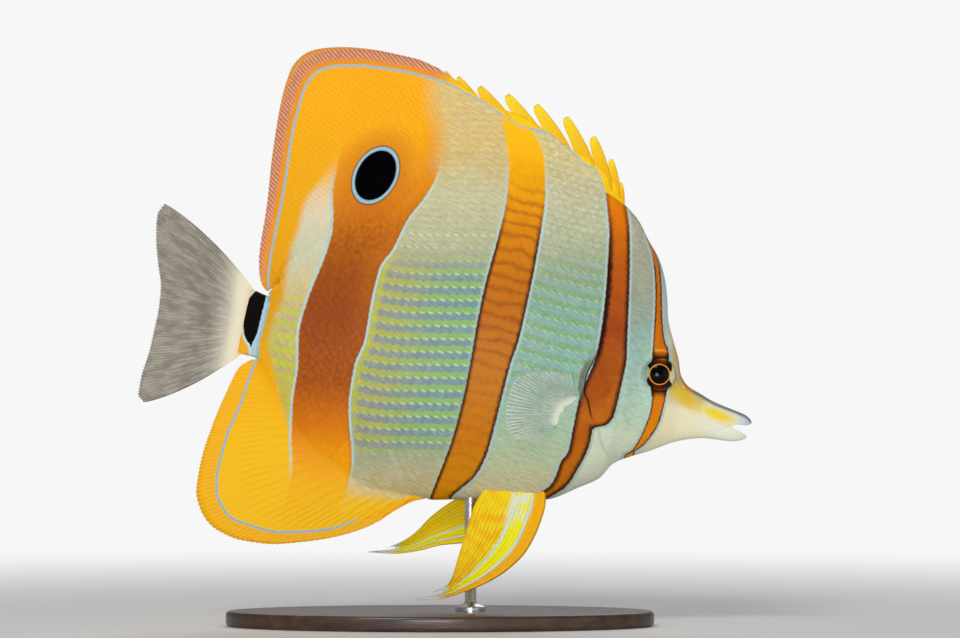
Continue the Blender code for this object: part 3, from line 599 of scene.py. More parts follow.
# %% Marks on every point
STREAK_SLOPE = curve((
    (0.0, 0.02), (20.0, -0.02), (28.0, -0.08), (36.0, 0.12), (42.0, 0.2), (55.0, 0.2), (60.0, -0.05), (70.0, -0.1),
    (80.0, 0.0), (90.0, 0.06), (100.0, 0.0), (130.0, -0.05),
))
slope_u = np.linspace(-40, 140, 1801)
slope_sum = np.cumsum(STREAK_SLOPE(slope_u)) * 0.1
LANE_HEIGHT, SCALE_LENGTH = 1.72, 2.3
LANE_START = 2.96


def lane_height(u):
    """How far a row of scales has risen at u, measured from u = 44."""
    return np.interp(u, slope_u, slope_sum) - np.interp(44.0, slope_u, slope_sum)


ON_BODY = np.array([40.0]), np.array([10.0])
RIM_SIGN = -float(np.sign(line_distance(RIM_LINE, *ON_BODY)[0]))
EDGE_CURVES = {name: curve([(v, u) for u, v in points]) for name, points in BAND_EDGES.items()}


def marks(u, v):
    """The distances, in millimetres, that the colours of the fish read."""
    found = {}
    for name, at in EDGE_CURVES.items():
        slope = at(v + 0.5) - at(v - 0.5)
        found[name] = (u - at(v)) / np.sqrt(1 + slope * slope)
    found["rim_out"] = line_distance(RIM_LINE, u, v) * RIM_SIGN
    found["slit"] = line_distance(GILL_SLIT, u, v)
    found["back"] = back(u)
    found["lane"], found["column"] = (v - lane_height(u) - LANE_START) / LANE_HEIGHT, u / SCALE_LENGTH
    return found


def write_marks(mesh):
    """Stores the marks of each point of a mesh as attributes."""
    points = np.empty(len(mesh.vertices) * 3, np.float32)
    mesh.vertices.foreach_get("co", points)
    u, _, v = fish_frame(points.reshape(-1, 3).astype(float))
    for name, values in marks(u, v).items():
        store(mesh, name, values)

# %% [markdown]
# The colours are one group of nodes that the skin, the scales and the fins' free spines all share, so a band runs
# on over all of them. A small helper class writes the nodes: each method adds one node and gives back its output.
# Masks come from smooth steps of the distances, and each layer of paint is mixed over the one before.

# %% A helper that writes nodes
def colour(red, green, blue):
    """A colour as the eye names it, 0 to 255, turned into light's own linear numbers."""
    shares = np.array([red, green, blue]) / 255
    linear = np.where(shares <= 0.04045, shares / 12.92, ((shares + 0.055) / 1.055) ** 2.4)
    return (*[float(c) for c in linear], 1.0)


class Paint:
    """Writes nodes into a tree. A value is a number, a colour or another node's output."""

    def __init__(self, tree):
        self.tree = tree

    def node(self, kind, settings=None, **inputs):
        """A new node. Its inputs are given by name, or by number as i0, i1 and so on."""
        made = self.tree.nodes.new(kind)
        for key, value in (settings or {}).items():
            setattr(made, key, value)
        for key, value in inputs.items():
            self.put(made.inputs[int(key[1:]) if key[1:].isdigit() else key.replace("_", " ")], value)
        return made

    def put(self, socket, value):
        if isinstance(value, bpy.types.NodeSocket):
            self.tree.links.new(value, socket)
        else:
            socket.default_value = value

    def math(self, operation, first, second=0.0, third=0.0):
        made = self.node("ShaderNodeMath", {"operation": operation}, i0=first, i1=second, i2=third)
        return made.outputs[0]

    def add(self, first, second):
        return self.math("ADD", first, second)

    def less(self, first, second):
        return self.math("SUBTRACT", first, second)

    def times(self, first, second):
        return self.math("MULTIPLY", first, second)

    def reach(self, first, second):
        """How far a place is from the middle, from how far it is in two directions."""
        return self.math("SQRT", self.add(*[self.math("POWER", way, 2.0) for way in (first, second)]))

    def crests(self, phase, power):
        """1 at each whole phase and 0 at each half, with crests made thin by the power."""
        return self.math("POWER", self.math("ABSOLUTE", self.math("COSINE", self.times(phase, math.pi))), power)

    def span(self, value, low, high, start=0.0, end=1.0):
        """start below low, end above high, and a soft step between."""
        made = self.node("ShaderNodeMapRange", {"interpolation_type": "SMOOTHSTEP"})
        for key, entry in zip(("Value", "From Min", "From Max", "To Min", "To Max"), (value, low, high, start, end)):
            self.put(made.inputs[key], entry)
        return made.outputs["Result"]

    def window(self, value, *ends):
        """0, up to 1 between the first two ends, and down to 0 between the last two."""
        return self.times(self.span(value, *ends[:2]), self.span(value, *ends[2:], 1.0, 0.0))

    def line(self, value, centre, half, soft=0.15):
        """1 within half of centre, 0 beyond, with soft sides."""
        away = self.math("ABSOLUTE", self.math("SUBTRACT", value, centre))
        if isinstance(half, bpy.types.NodeSocket):
            return self.span(self.math("SUBTRACT", away, half), -soft, soft, 1.0, 0.0)
        return self.span(away, half - soft, half + soft, 1.0, 0.0)

    def mix(self, share, under, over):
        """One colour laid over another."""
        return self.node("ShaderNodeMix", {"data_type": "RGBA"}, i0=share, i6=under, i7=over).outputs[2]

    def blend(self, share, first, second):
        """A number on its way from the first to the second."""
        return self.node("ShaderNodeMix", i0=share, i2=first, i3=second).outputs[0]

    def shade(self, tint, brightness):
        """A colour made darker or lighter by a factor."""
        return self.node("ShaderNodeVectorMath", {"operation": "SCALE"}, i0=tint, Scale=brightness).outputs[0]

    def attribute(self, name):
        return self.node("ShaderNodeAttribute", {"attribute_name": name}).outputs["Fac"]

    def all(self, *shares):
        """The product of several masks."""
        result = shares[0]
        for share in shares[1:]:
            result = self.times(result, share)
        return result

    def gradient(self, value, *stops):
        """A colour that runs through (place, red, green, blue) stops as the value grows."""
        low, high = stops[0][0], stops[-1][0]
        made = self.node("ShaderNodeValToRGB")
        scaled = self.node("ShaderNodeMapRange", i0=value, i1=low, i2=high).outputs[0]
        self.put(made.inputs[0], scaled)
        ramp = made.color_ramp
        while len(ramp.elements) < len(stops):
            ramp.elements.new(0.5)
        for element, (at, *tint) in zip(ramp.elements, stops):
            element.position = (at - low) / (high - low)
            element.color = colour(*tint)
        return made.outputs[0]

    def noise(self, vector, scale, detail=2.0, rough=0.5):
        return self.node("ShaderNodeTexNoise", Vector=vector, Scale=scale, Detail=detail, Roughness=rough).outputs[0]

    def vector(self, x, y, z=0.0):
        return self.node("ShaderNodeCombineXYZ", X=x, Y=y, Z=z).outputs[0]

    def mapping(self, vector, scale, turn=0.0, shift=(0, 0, 0)):
        """A place drawn out, then turned about the side's own axis and shifted."""
        made = self.node("ShaderNodeMapping", Vector=vector)
        for key, value in (("Scale", scale), ("Rotation", (0, turn, 0)), ("Location", shift)):
            made.inputs[key].default_value = value
        return made.outputs[0]

    def millimetres(self, turned=True):
        """Object coordinates in millimetres, as the fish's u, y, v, or as they stand."""
        source = self.node("ShaderNodeTexCoord").outputs["Object"]
        if not turned:
            return self.mapping(source, (1000, 1000, 1000))
        u, y, v = fish_frame(np.zeros((1, 3)))
        return self.mapping(source, (1000, 1000, 1000), -PITCH, (float(u[0]), float(y[0]), float(v[0])))


def group(name, *outputs):
    """A new group of shader nodes with the named outputs. Gives its Paint and its output node."""
    tree = bpy.data.node_groups.new(name, "ShaderNodeTree")
    for output, kind in outputs:
        tree.interface.new_socket(output, in_out="OUTPUT", socket_type=f"NodeSocket{kind}")
    return Paint(tree), tree.nodes.new("NodeGroupOutput")

# %% [markdown]
# Now the fish's own pattern. The next cells write it into one tree, layer over layer: p adds the nodes, and coat is
# the colour so far. First come the numbers that they read: the place on the fish, the height over the floor, the
# marks of the point, by name in a, and three noises. Each band's edge steps from scale to scale, so its distance
# takes a small ripple of the rows' own height. Two more noises, stretched along the side, give a fine hatching.

# %% What the colours read
p, out = group("fish_colours", ("Color", "Color"), ("Height", "Float"))
split = p.node("ShaderNodeSeparateXYZ", i0=p.millimetres())
u, v = split.outputs[0], split.outputs[2]
level_x, _, level_z = p.node("ShaderNodeSeparateXYZ", i0=p.millimetres(turned=False)).outputs
a = {name: p.attribute(name) for name in (*BAND_EDGES, "rim_out", "slit", "lane", "column", "ray", "fin", "back")}
flat_at = p.vector(u, 0.0, v)
wave = p.noise(flat_at, 0.12, 3)
fine = p.noise(flat_at, 0.9, 3, 0.6)
grain = p.noise(flat_at, 3.0, 2, 0.6)

ripple = p.times(p.math("SINE", p.times(a["lane"], 2 * math.pi)), 0.04)
ripple = p.add(ripple, p.times(p.less(fine, 0.5), p.span(u, 80, 92, 0.5, 0.2)))
for name in BAND_EDGES:
    a[name] = p.add(a[name], ripple)


def stretched(vector, degrees, x_scale, z_scale):
    """The place turned about the side's own axis first, and then drawn out."""
    return p.mapping(p.mapping(vector, (1, 1, 1), math.radians(degrees)), (x_scale, 1.0, z_scale))


hatch = p.noise(stretched(flat_at, -35, 0.45, 2.6), 1.0, 2)
level_noise = p.noise(stretched(flat_at, -12, 0.35, 1.8), 1.0, 3)

# %% [markdown]
# The scales' lattice gives the rows their look: a green blob sits on each scale of an even row, a short pale stroke
# runs under it as a painted highlight, the pearly sheen the scale catches, and blue-grey lies between. Each of these
# is a mask, a share from 0 to 1 of how much paint is there.

# %% The rows of scales
lane, column = a["lane"], a["column"]
row = p.math("ROUND", lane)
odd = p.math("FLOORED_MODULO", row, 2.0)
off_row = p.less(lane, row)
shifted = p.add(column, p.times(odd, 0.5))
off_column = p.less(shifted, p.math("ROUND", shifted))
reach = p.reach(off_row, off_column)
across = p.less(lane, p.times(p.math("ROUND", p.times(lane, 0.5)), 2.0))
off_even = p.less(column, p.math("ROUND", column))
near_even = p.add(p.math("ABSOLUTE", across), p.times(p.math("POWER", p.math("ABSOLUTE", off_even), 2.0), 1.3))
blob = p.span(p.add(near_even, p.times(hatch, 0.35)), 0.58, 0.98, 1.0, 0.0)
sheen_dash_row = p.add(across, p.add(p.times(off_even, 0.45), 0.42))
sheen_dash = p.all(p.line(sheen_dash_row, 0.0, 0.13, 0.12), p.line(off_even, 0.0, 0.28, 0.12), p.span(fine, 0.3, 0.5, 0.4, 1.0))
cell = p.span(p.add(reach, p.times(fine, 0.3)), 0.35, 0.62, 1.0, 0.0)
edges = p.span(p.add(reach, p.times(hatch, 0.15)), 0.5, 0.66)

# %% [markdown]
# The ground is pale and changes from the back down to the belly. It has three zones: one behind the middle band, one
# between it and the shoulder band, and one ahead of that. A ramp along the height gives each of them.

# %% The ground
zone_a = p.gradient(
    level_z, (30, 232, 200, 120), (40, 206, 200, 156), (47, 180, 190, 156), (58, 158, 186, 164), (85, 158, 186, 166),
    (95, 186, 188, 150), (112, 206, 202, 158), (124, 226, 196, 124),
)
zone_b = p.gradient(
    level_z, (36, 220, 214, 170), (44, 196, 212, 172), (54, 176, 214, 182), (66, 162, 212, 190), (84, 156, 198, 172),
    (92, 180, 196, 160), (112, 216, 212, 170), (122, 232, 212, 140),
)
zone_c = p.gradient(
    level_z, (40, 214, 216, 180), (50, 206, 222, 188), (60, 184, 222, 204), (74, 164, 200, 186), (86, 166, 174, 156),
    (108, 200, 196, 164),
)
body = p.mix(p.span(a["middle_front"], -2, 2), zone_a, zone_b)
body = p.mix(p.span(a["shoulder_front"], -1, 1), body, zone_c)
body = p.mix(p.times(p.span(wave, 0.4, 0.7), 0.2), body, colour(222, 214, 178))
body = p.shade(body, p.span(level_noise, 0.3, 0.7, 0.9, 1.1))

# %% [markdown]
# The rows are laid over the ground with these masks. Between the rear and the middle bands they are strong and turn
# from olive to green. Ahead of the middle band they are paler and broken up, and towards the back they dissolve into
# single scales.

# %% The rows on the ground
in_a = p.all(p.span(a["rear_front"], 0, 2), p.span(a["middle_front"], -2, 0, 1, 0))
rows_a = p.all(in_a, p.window(level_z, 42, 50, 90, 100))
towards = p.span(a["middle_rear"], -26, -6)
green_a = p.mix(
    towards, p.mix(fine, colour(188, 186, 70), colour(206, 206, 96)),
    p.mix(fine, colour(132, 190, 96), colour(176, 212, 124)),
)
blue_a = p.mix(towards, colour(156, 152, 154), colour(112, 154, 176))
between = p.all(rows_a, p.span(blob, 0.0, 1.0, 1.0, 0.0), p.span(hatch, 0.32, 0.58, 0.2, 0.85))
coat = p.mix(between, body, blue_a)
coat = p.mix(p.all(rows_a, blob, 0.9), coat, green_a)
# The pale dashes are painted highlights: the pearly sheen that each scale catches.
coat = p.mix(p.all(rows_a, sheen_dash, p.span(a["middle_rear"], -26, -6, 0.35, 0.8)), coat, colour(224, 242, 206))
# Higher up the rows thin out to pale dashes alone, painted highlights as well.
faint_sheen = p.all(in_a, sheen_dash, p.window(level_z, 97, 100, 102, 106), 0.8)
coat = p.mix(faint_sheen, coat, colour(232, 238, 214))
hem = p.all(p.line(a["rear_front"], 1.3, 0.8, 0.6), p.window(level_z, 46, 62, 92, 102), p.span(hatch, 0.3, 0.5))
coat = p.mix(p.times(hem, 0.75), coat, colour(212, 210, 40))

in_b = p.all(p.span(a["middle_front"], 0, 1), p.span(a["eye_rear"], -1, 0, 1, 0))
rows_b = p.all(in_b, p.span(a["shoulder_rear"], -1, 0, 1, 0), p.window(level_z, 56, 66, 90, 102))
coat = p.mix(p.all(rows_b, p.span(blob, 0, 1, 1, 0), p.span(hatch, 0.35, 0.6, 0.1, 0.55)), coat, colour(128, 176, 190))
coat = p.mix(p.all(rows_b, blob, p.span(fine, 0.3, 0.6, 0.2, 0.75)), coat, colour(132, 176, 108))
# The pale dashes on these rows are painted highlights too.
coat = p.mix(p.all(rows_b, sheen_dash, 0.6), coat, colour(212, 234, 210))
upper_b = p.all(p.math("MAXIMUM", in_b, p.times(in_a, 0.35)), p.span(level_z, 86, 100))
coat = p.mix(p.all(upper_b, p.span(cell, 0, 1, 1, 0), p.span(hatch, 0.3, 0.6, 0.05, 0.45)), coat, colour(142, 162, 162))
coat = p.mix(p.all(upper_b, cell, p.span(fine, 0.38, 0.6), 0.45), coat, colour(196, 170, 104))
# The scales' outlines are darkened a little as painted shade between them, more on the body than on the head.
coat = p.mix(p.all(edges, p.span(u, 84, 92, 0.2, 0.06)), coat, p.mix(0.5, coat, colour(92, 98, 92)))

# %% [markdown]
# The rear third of the fish is orange. Its broad band is dark rust in the middle and runs out into the yellow of both
# fins. Behind the band stands a cream bar and behind that an orange field. A thin pale-blue line follows each side of
# the band.

# %% The rear band and what lies behind it
bar = p.gradient(
    level_z, (38, 232, 196, 90), (60, 206, 190, 84), (74, 206, 194, 104), (86, 216, 194, 136), (98, 206, 208, 176),
    (108, 226, 212, 180), (118, 240, 206, 140),
)
low_bar = p.window(level_z, 56, 66, 82, 92)
bar = p.mix(p.all(low_bar, p.span(blob, 0, 1, 1, 0), p.span(hatch, 0.4, 0.6), 0.6), bar, colour(176, 150, 140))
bar = p.mix(p.all(low_bar, blob, 0.6), bar, colour(190, 200, 60))
field = p.gradient(
    v, (-52, 255, 196, 0), (-30, 255, 194, 0), (-12, 250, 180, 0), (2, 222, 160, 20), (12, 230, 160, 10),
    (28, 240, 172, 0), (44, 246, 176, 0), (60, 255, 180, 0), (72, 255, 178, 0),
)
streak_low = p.less(a["bar_rear"], p.add(p.span(v, -34, -22, 3.0, 0.0), p.span(v, 32, 47, 0.0, 5.0)))
bar_span = p.all(p.span(streak_low, -1.6, 0.8), p.window(v, -36, -22, 36, 49))
rear_of_bar = p.mix(bar_span, field, bar)
band = p.gradient(
    level_z, (22, 255, 196, 0), (36, 255, 184, 0), (46, 246, 156, 0), (53, 222, 122, 0), (64, 184, 88, 0),
    (82, 158, 70, 0), (92, 168, 80, 0), (104, 204, 112, 0), (116, 236, 150, 0), (130, 255, 178, 0),
)
band = p.mix(p.all(p.window(level_z, 54, 64, 100, 112), p.span(fine, 0.35, 0.7), 0.6), band, colour(128, 58, 0))
band = p.mix(p.all(p.span(a["rear_front"], -7, 0), p.span(level_z, 60, 100), 0.4), band, colour(214, 120, 0))
rear = p.mix(p.span(a["rear_rear"], -0.3, 0.3), rear_of_bar, band)
soft_edge = p.span(level_z, 116, 123)
top_lean = p.span(level_z, 124, 142, 0.0, 5.5)
front_at = p.add(p.add(a["rear_front"], top_lean), p.all(soft_edge, p.less(fine, 0.5), 2.0))
behind = p.blend(soft_edge, p.span(front_at, -0.25, 0.25, 1.0, 0.0), p.span(front_at, -4.5, 3.5, 1.0, 0.0))
coat = p.mix(behind, coat, rear)
anal_front = p.all(p.span(v, -20, -16, 1, 0), p.span(p.add(a["fin"], p.times(p.less(fine, 0.5), 0.3)), 0.0, 0.3))
coat = p.mix(p.times(anal_front, p.span(a["rear_front"], -2.5, 1.5)), coat, field)

# The pale lines fade out on the fins.
fins_out = p.window(v, -40, -30, 36, 46)
pale = p.mix(wave, colour(168, 206, 214), colour(200, 220, 214))
coat = p.mix(p.all(fins_out, p.line(a["rear_rear"], -0.4, 0.32)), coat, pale)
coat = p.mix(
    p.all(p.span(v, -36, -28), p.span(level_z, 112, 121, 1, 0), p.line(a["rear_front"], 0.35, 0.3)), coat, pale,
)
coat = p.mix(p.all(fins_out, p.line(a["rear_front"], -0.3, 0.3), 0.22), coat, colour(110, 60, 30))

# %% [markdown]
# The three bands in front share one recipe: amber between dark margins, with a pale line outside each margin. A
# function lays one band, and each call says how wide its margins are and how far up they reach.

# %% The three bands in front
def cross_band(coat, rear_name, front_name, inside, margin, pale_half, dark_reach, share=1.0, rear_share=1.0):
    behind_it, ahead = a[rear_name], a[front_name]
    within = p.all(p.span(behind_it, -0.15, 0.15), p.span(ahead, -0.15, 0.15, 1.0, 0.0))
    rear_line = p.times(p.line(behind_it, -pale_half - 0.1, pale_half, 0.25), rear_share)
    outside = p.math("MAXIMUM", rear_line, p.line(ahead, pale_half + 0.1, pale_half, 0.2))
    coat = p.mix(p.times(outside, share), coat, pale)
    coat = p.mix(within, coat, inside)
    deep = p.math("MINIMUM", behind_it, p.times(ahead, -1.0))
    rough_depth = p.less(deep, p.times(p.less(fine, 0.5), 0.8))
    dark = p.all(within, p.span(p.math("DIVIDE", rough_depth, margin), 0.3, 1.7, 0.92, 0.0), dark_reach)
    return p.mix(dark, coat, colour(44, 22, 6))


fall = p.add(p.times(level_z, 0.30), p.add(p.times(a["middle_rear"], 0.075), p.times(wave, 1.6)))
streaks = p.all(p.line(p.math("FLOORED_MODULO", fall, 1.0), 0.5, 0.16, 0.16), p.span(fine, 0.3, 0.55, 0.5, 1.0))
middle = p.gradient(
    level_z, (36, 236, 150, 0), (48, 222, 132, 0), (64, 218, 128, 0), (84, 212, 118, 0), (104, 226, 138, 0),
    (122, 255, 184, 0), (134, 255, 196, 0),
)
middle = p.mix(
    p.all(streaks, p.span(level_z, 108, 120, 1, 0), p.span(level_z, 62, 74, 0.15, 0.5)), middle, colour(140, 62, 0),
)
coat = cross_band(
    coat, "middle_rear", "middle_front", middle, 0.75, 0.32, p.span(level_z, 98, 114, 1, 0.0), p.span(v, 48, 58, 1, 0),
    p.span(level_z, 60, 90, 0.25, 0.8),
)
shoulder = p.gradient(
    level_z, (36, 226, 130, 0), (46, 206, 106, 0), (60, 188, 88, 0), (78, 176, 72, 0), (94, 206, 96, 0),
    (108, 238, 126, 0), (118, 252, 168, 0),
)
shoulder = p.mix(p.all(p.span(hatch, 0.5, 0.75), 0.35), shoulder, colour(150, 66, 0))
shoulder = p.mix(p.all(p.span(wave, 0.45, 0.65), p.span(level_z, 60, 76, 0.55, 0.2)), shoulder, colour(226, 128, 14))
coat = cross_band(
    coat, "shoulder_rear", "shoulder_front", shoulder, p.span(level_z, 60, 90, 0.95, 0.8), 0.28,
    p.span(level_z, 100, 112, 1, 0.5),
)
rear_margin = p.add(a["shoulder_rear"], p.times(p.less(fine, 0.5), 2.0))
broad = p.all(
    p.span(a["shoulder_rear"], 0.0, 0.3), p.span(rear_margin, 0.7, 1.9, 1, 0), p.window(level_z, 66, 74, 92, 108),
)
coat = p.mix(p.times(broad, 0.9), coat, colour(40, 20, 6))

# %% [markdown]
# Behind the gill opening the recess is darkened grey-brown as painted shade, and a dark line along the cover's edge is
# its painted shadow, with a softer grey-green line of painted shade below it along the membrane's fold. Then comes the
# band through the eye. Round the eye its dark margins widen to black flanks, and a small gold arc above the socket is
# a painted highlight.

# %% The gill and the eye's band
slit = a["slit"]
# Painted shade: the recess behind the gill opening is darkened grey-brown.
hollow_shade = p.all(p.line(slit, -1.1, 0.7, 0.3), p.window(v, -3, 0, 7, 11))
coat = p.mix(p.times(hollow_shade, 0.7), coat, colour(112, 90, 70))
# Painted shadow: a dark line under the edge of the gill cover, and lower down a soft grey-green line along the
# membrane's fold.
coat = p.mix(p.all(p.line(slit, -0.15, 0.22), p.window(v, -7, -4, 9, 13), 0.9), coat, colour(44, 24, 14))
coat = p.mix(p.all(p.line(slit, -0.1, 0.25), p.window(v, -16, -13, -9, -8), 0.3), coat, colour(130, 140, 120))
eye_band = p.gradient(
    level_z, (34, 240, 160, 10), (50, 232, 140, 0), (60, 226, 124, 0), (84, 214, 110, 0), (97, 220, 130, 50),
    (104, 206, 150, 110),
)
eye_u, eye_v = p.less(u, EYE_CENTRE[0]), p.less(v, EYE_CENTRE[1])
from_eye = p.reach(eye_u, eye_v)
# A thin gold arc above the eye is a painted highlight over the socket's upper rim.
eye_band = p.mix(p.all(p.line(from_eye, 6.3, 0.25, 0.3), p.span(eye_v, 3, 5), 0.8), eye_band, colour(250, 170, 40))
eye_band = p.mix(p.span(from_eye, 4.2, 6.2, 0.97, 0.0), eye_band, colour(34, 12, 6))
coat = cross_band(
    coat, "eye_rear", "eye_front", eye_band, p.span(from_eye, 4.5, 7.0, 1.1, 0.36), 0.22,
    p.span(level_z, 92, 100, 1, 0),
)

# %% [markdown]
# The snout is cream with two yellow patches. Its ridge is pink-brown down to the nostrils, then a thin line of steel
# grey to the tip. Each patch is an ellipse that leans with the snout, given by its middle, its halves and its lean.

# %% The forehead and the snout
ahead_of_eye = p.all(p.span(a["eye_front"], 0.3, 0.9), p.span(u, 94, 96))
face = p.gradient(
    u, (96, 180, 206, 216), (103, 200, 216, 214), (107, 238, 228, 190), (114, 244, 236, 196), (121, 240, 236, 206),
    (127, 232, 232, 214), (131, 196, 212, 226),
)
face = p.mix(p.all(p.span(v, 1, 5), p.window(u, 106, 108, 117, 120), 0.8), face, colour(210, 184, 112))
patches = ((112.8, 4.8, 4.6, 2.3, -0.45, colour(236, 200, 50)), (122.2, 2.0, 5.0, 1.5, -0.14, colour(250, 222, 10)))
for at_u, at_v, long, tall, lean, yellow in patches:
    du = p.less(u, at_u)
    dv = p.less(p.less(v, at_v), p.times(du, lean))
    spread = p.reach(p.times(du, 1 / long), p.times(dv, 1 / tall))
    face = p.mix(p.span(p.add(spread, p.times(fine, 0.5)), 0.6, 1.7, 0.95, 0.0), face, yellow)
below_ridge = p.less(a["back"], v)
face = p.mix(
    p.all(p.span(u, 107, 110), p.span(below_ridge, 0.2, 1.1, 0.85, 0.0)), face,
    p.mix(p.span(u, 113, 116), colour(206, 130, 90), colour(92, 100, 108)),
)
nose = p.reach(p.less(u, 112.5), p.times(below_ridge, 1.6))
face = p.mix(p.span(nose, 1.0, 2.4, 0.8, 0.0), face, colour(232, 136, 30))
crease = p.all(p.line(p.add(u, p.times(v, 0.5)), 119.6, 0.2, 0.25), p.window(v, 0.0, 1.0, 2.6, 3.6), 0.5)
face = p.mix(crease, face, colour(246, 242, 222))
coat = p.mix(ahead_of_eye, coat, face)
chin = p.all(p.span(u, 117, 123), p.span(v, -1.2, 0.2, 1, 0))
coat = p.mix(p.times(chin, 0.85), coat, colour(244, 242, 224))

# %% [markdown]
# On the tail stalk stands a black bar between a blue and a white line, and beyond it the tail's root is yellow.

# %% The tail stalk
stalk_zone = p.all(p.window(v, -9.5, -8.5, 9.5, 10.5), p.span(u, 1.5, 2.5, 1, 0))
stalk = p.mix(p.span(a["stalk_front"], 0.0, 0.2), colour(20, 14, 14), colour(176, 210, 226))
stalk = p.mix(
    p.span(a["stalk_rear"], -0.8, -0.6), colour(244, 178, 30),
    p.mix(p.span(a["stalk_rear"], -0.15, 0.1), colour(206, 222, 232), stalk),
)
coat = p.mix(p.all(stalk_zone, p.span(a["rim_out"], -0.4, 0.0, 0, 1)), coat, stalk)

# %% [markdown]
# A blue line runs round the fish on the fins. Beyond it the anal fin is orange, and the dorsal fin's edge is a clear
# pink with fine parallel lines in it. A second set of such lines crosses the dorsal fin's orange field.

# %% The rims of the fins
rim = a["rim_out"]
on_dorsal = p.span(v, 2.0, 4.0)
spiny = p.span(u, 31, 41)
ray = p.times(a["ray"], 4.0)
on_ray = p.crests(ray, 3.0)
beyond = p.times(p.span(rim, 0.0, 0.25), p.span(a["fin"], 0.0, 0.04))


def comb(degrees, pitch):
    """Fine parallel lines down to the right, by their angle below the level and the way from one to the next."""
    lean = math.radians(degrees)
    place_on = p.add(p.times(level_x, math.sin(lean) / pitch), p.times(level_z, math.cos(lean) / pitch))
    return p.add(0.5, p.times(p.math("COSINE", p.times(p.add(place_on, p.times(wave, 1.2)), 2 * math.pi)), 0.5))


edge_comb, field_comb = comb(48, 0.85), comb(37, 1.15)
glow = p.mix(p.span(rim, 0.5, 2.4), colour(240, 150, 20), colour(200, 118, 74))
glow = p.mix(
    p.all(p.span(rim, 0.4, 2.2), p.span(edge_comb, 0.45, 1.0), p.span(fine, 0.3, 0.6, 0.3, 0.72)), glow,
    colour(240, 200, 178),
)
glow = p.mix(p.span(rim, 3.6, 4.4, 0.0, 0.7), glow, colour(240, 160, 40))
on_soft = p.all(on_dorsal, p.span(a["fin"], 0.03, 0.2), behind)
coat = p.mix(
    p.all(on_soft, p.span(field_comb, 0.3, 0.9), p.span(fine, 0.3, 0.65, 0.05, 0.32)), coat, colour(232, 136, 0),
)
glow = p.mix(spiny, glow, colour(250, 206, 8))
outer = p.mix(on_dorsal, p.mix(p.times(on_ray, 0.5), colour(253, 180, 8), colour(255, 202, 40)), glow)
coat = p.mix(beyond, coat, outer)
low_front = p.all(p.span(v, -28, -22, 1, 0), p.span(u, 33, 38))
coat = p.mix(
    p.all(
        p.line(rim, -0.3, p.span(p.add(u, p.times(fine, 20.0)), 38, 50, 0.32, 0.16)), p.span(low_front, 0, 1, 1, 0),
        p.span(a["middle_front"], 8, 14, 1, 0),
    ),
    coat, p.mix(fine, colour(128, 168, 196), colour(176, 208, 220)),
)
fin_streak = p.all(
    p.span(on_dorsal, 0, 1, 1, 0), p.span(a["fin"], 0.08, 0.3), on_ray, p.span(rim, -1.5, -0.4, 0.3, 0.0),
)
coat = p.mix(fin_streak, coat, colour(255, 206, 40))

# %% [markdown]
# The false eye is a leaning black oval in a pale-blue ring. At the end the flank ahead of the rear band is darkened
# below its middle height as painted shade, the throat is made paler, and all of it takes a last fine grain.

# %% The false eye
from_spot = p.vector(p.less(u, OCELLUS[0]), 0.0, p.less(v, OCELLUS[1]))
rounded_spot = stretched(from_spot, math.degrees(OCELLUS_TILT), 1.0, OCELLUS_HALVES[0] / OCELLUS_HALVES[1])
away = p.node("ShaderNodeVectorMath", {"operation": "LENGTH"}, i0=rounded_spot).outputs["Value"]
spot = OCELLUS_HALVES[0]
coat = p.mix(p.all(p.span(away, spot + 0.6, spot + 7.0, 0.4, 0.0), behind), coat, colour(196, 88, 0))
coat = p.mix(p.span(away, spot + 0.75, spot + 1.2, 0.8, 0), coat, colour(90, 70, 30))
coat = p.mix(
    p.span(away, spot + 0.55, spot + 0.8, 1, 0), coat, p.mix(fine, colour(120, 176, 204), colour(180, 214, 224)),
)
coat = p.mix(p.span(away, spot - 0.15, spot + 0.2, 1, 0), coat, colour(2, 2, 4))

# Painted shade: below a height of 84 to 112 mm the flank ahead of the rear band is made darker, as if less light fell
# on the lower body. The pale throat is left out of it.
flank = p.all(
    p.span(a["rear_front"], 0.2, 1.0), p.span(level_z, 84, 112, 1, 0), p.span(a["fin"], 0.0, 0.05, 1, 0),
    p.span(u, 98, 104, 1, 0),
)
throat = p.all(
    p.span(a["shoulder_front"], 0.3, 1.0), p.span(level_z, 46, 60, 1, 0), p.span(a["eye_rear"], -1.2, -0.6, 1, 0),
)
coat = p.mix(p.times(throat, 0.5), coat, colour(222, 230, 212))
coat = p.shade(coat, p.span(p.less(flank, throat), 0.0, 1.0, 1.0, 0.86))
coat = p.shade(coat, p.span(grain, 0.25, 0.75, 0.93, 1.09))
p.put(out.inputs["Color"], coat)
p.put(out.inputs["Height"], p.add(p.times(fine, 0.5), p.times(grain, 0.5)))
fish_colours = p.tree
print("fish_colours:", len(fish_colours.nodes), "nodes")

# %% [markdown]
# Two helpers make a material and dent its surface by a height. The skin and the scales share one more: both read the
# fish's colours and shine a little less where the paint is black. Another helper puts each finished piece in its
# place among the CAD's parts, and the skin is the first of them.

# %% Materials and pieces
def surface(name, **settings):
    """A new material. Gives it, its Paint and its Principled shader with the given constant settings."""
    made = bpy.data.materials.new(name)
    made.use_nodes = True
    paint = Paint(made.node_tree)
    shader = made.node_tree.nodes["Principled BSDF"]
    for key, value in settings.items():
        shader.inputs[key.replace("_", " ")].default_value = value
    return made, paint, shader


def bumped(paint, shader, height, distance):
    """Lets a height, in shares of distance metres, dent the shader's surface."""
    bump = paint.node("ShaderNodeBump", Height=height, Distance=distance, Strength=1.0)
    paint.put(shader.inputs["Normal"], bump.outputs[0])


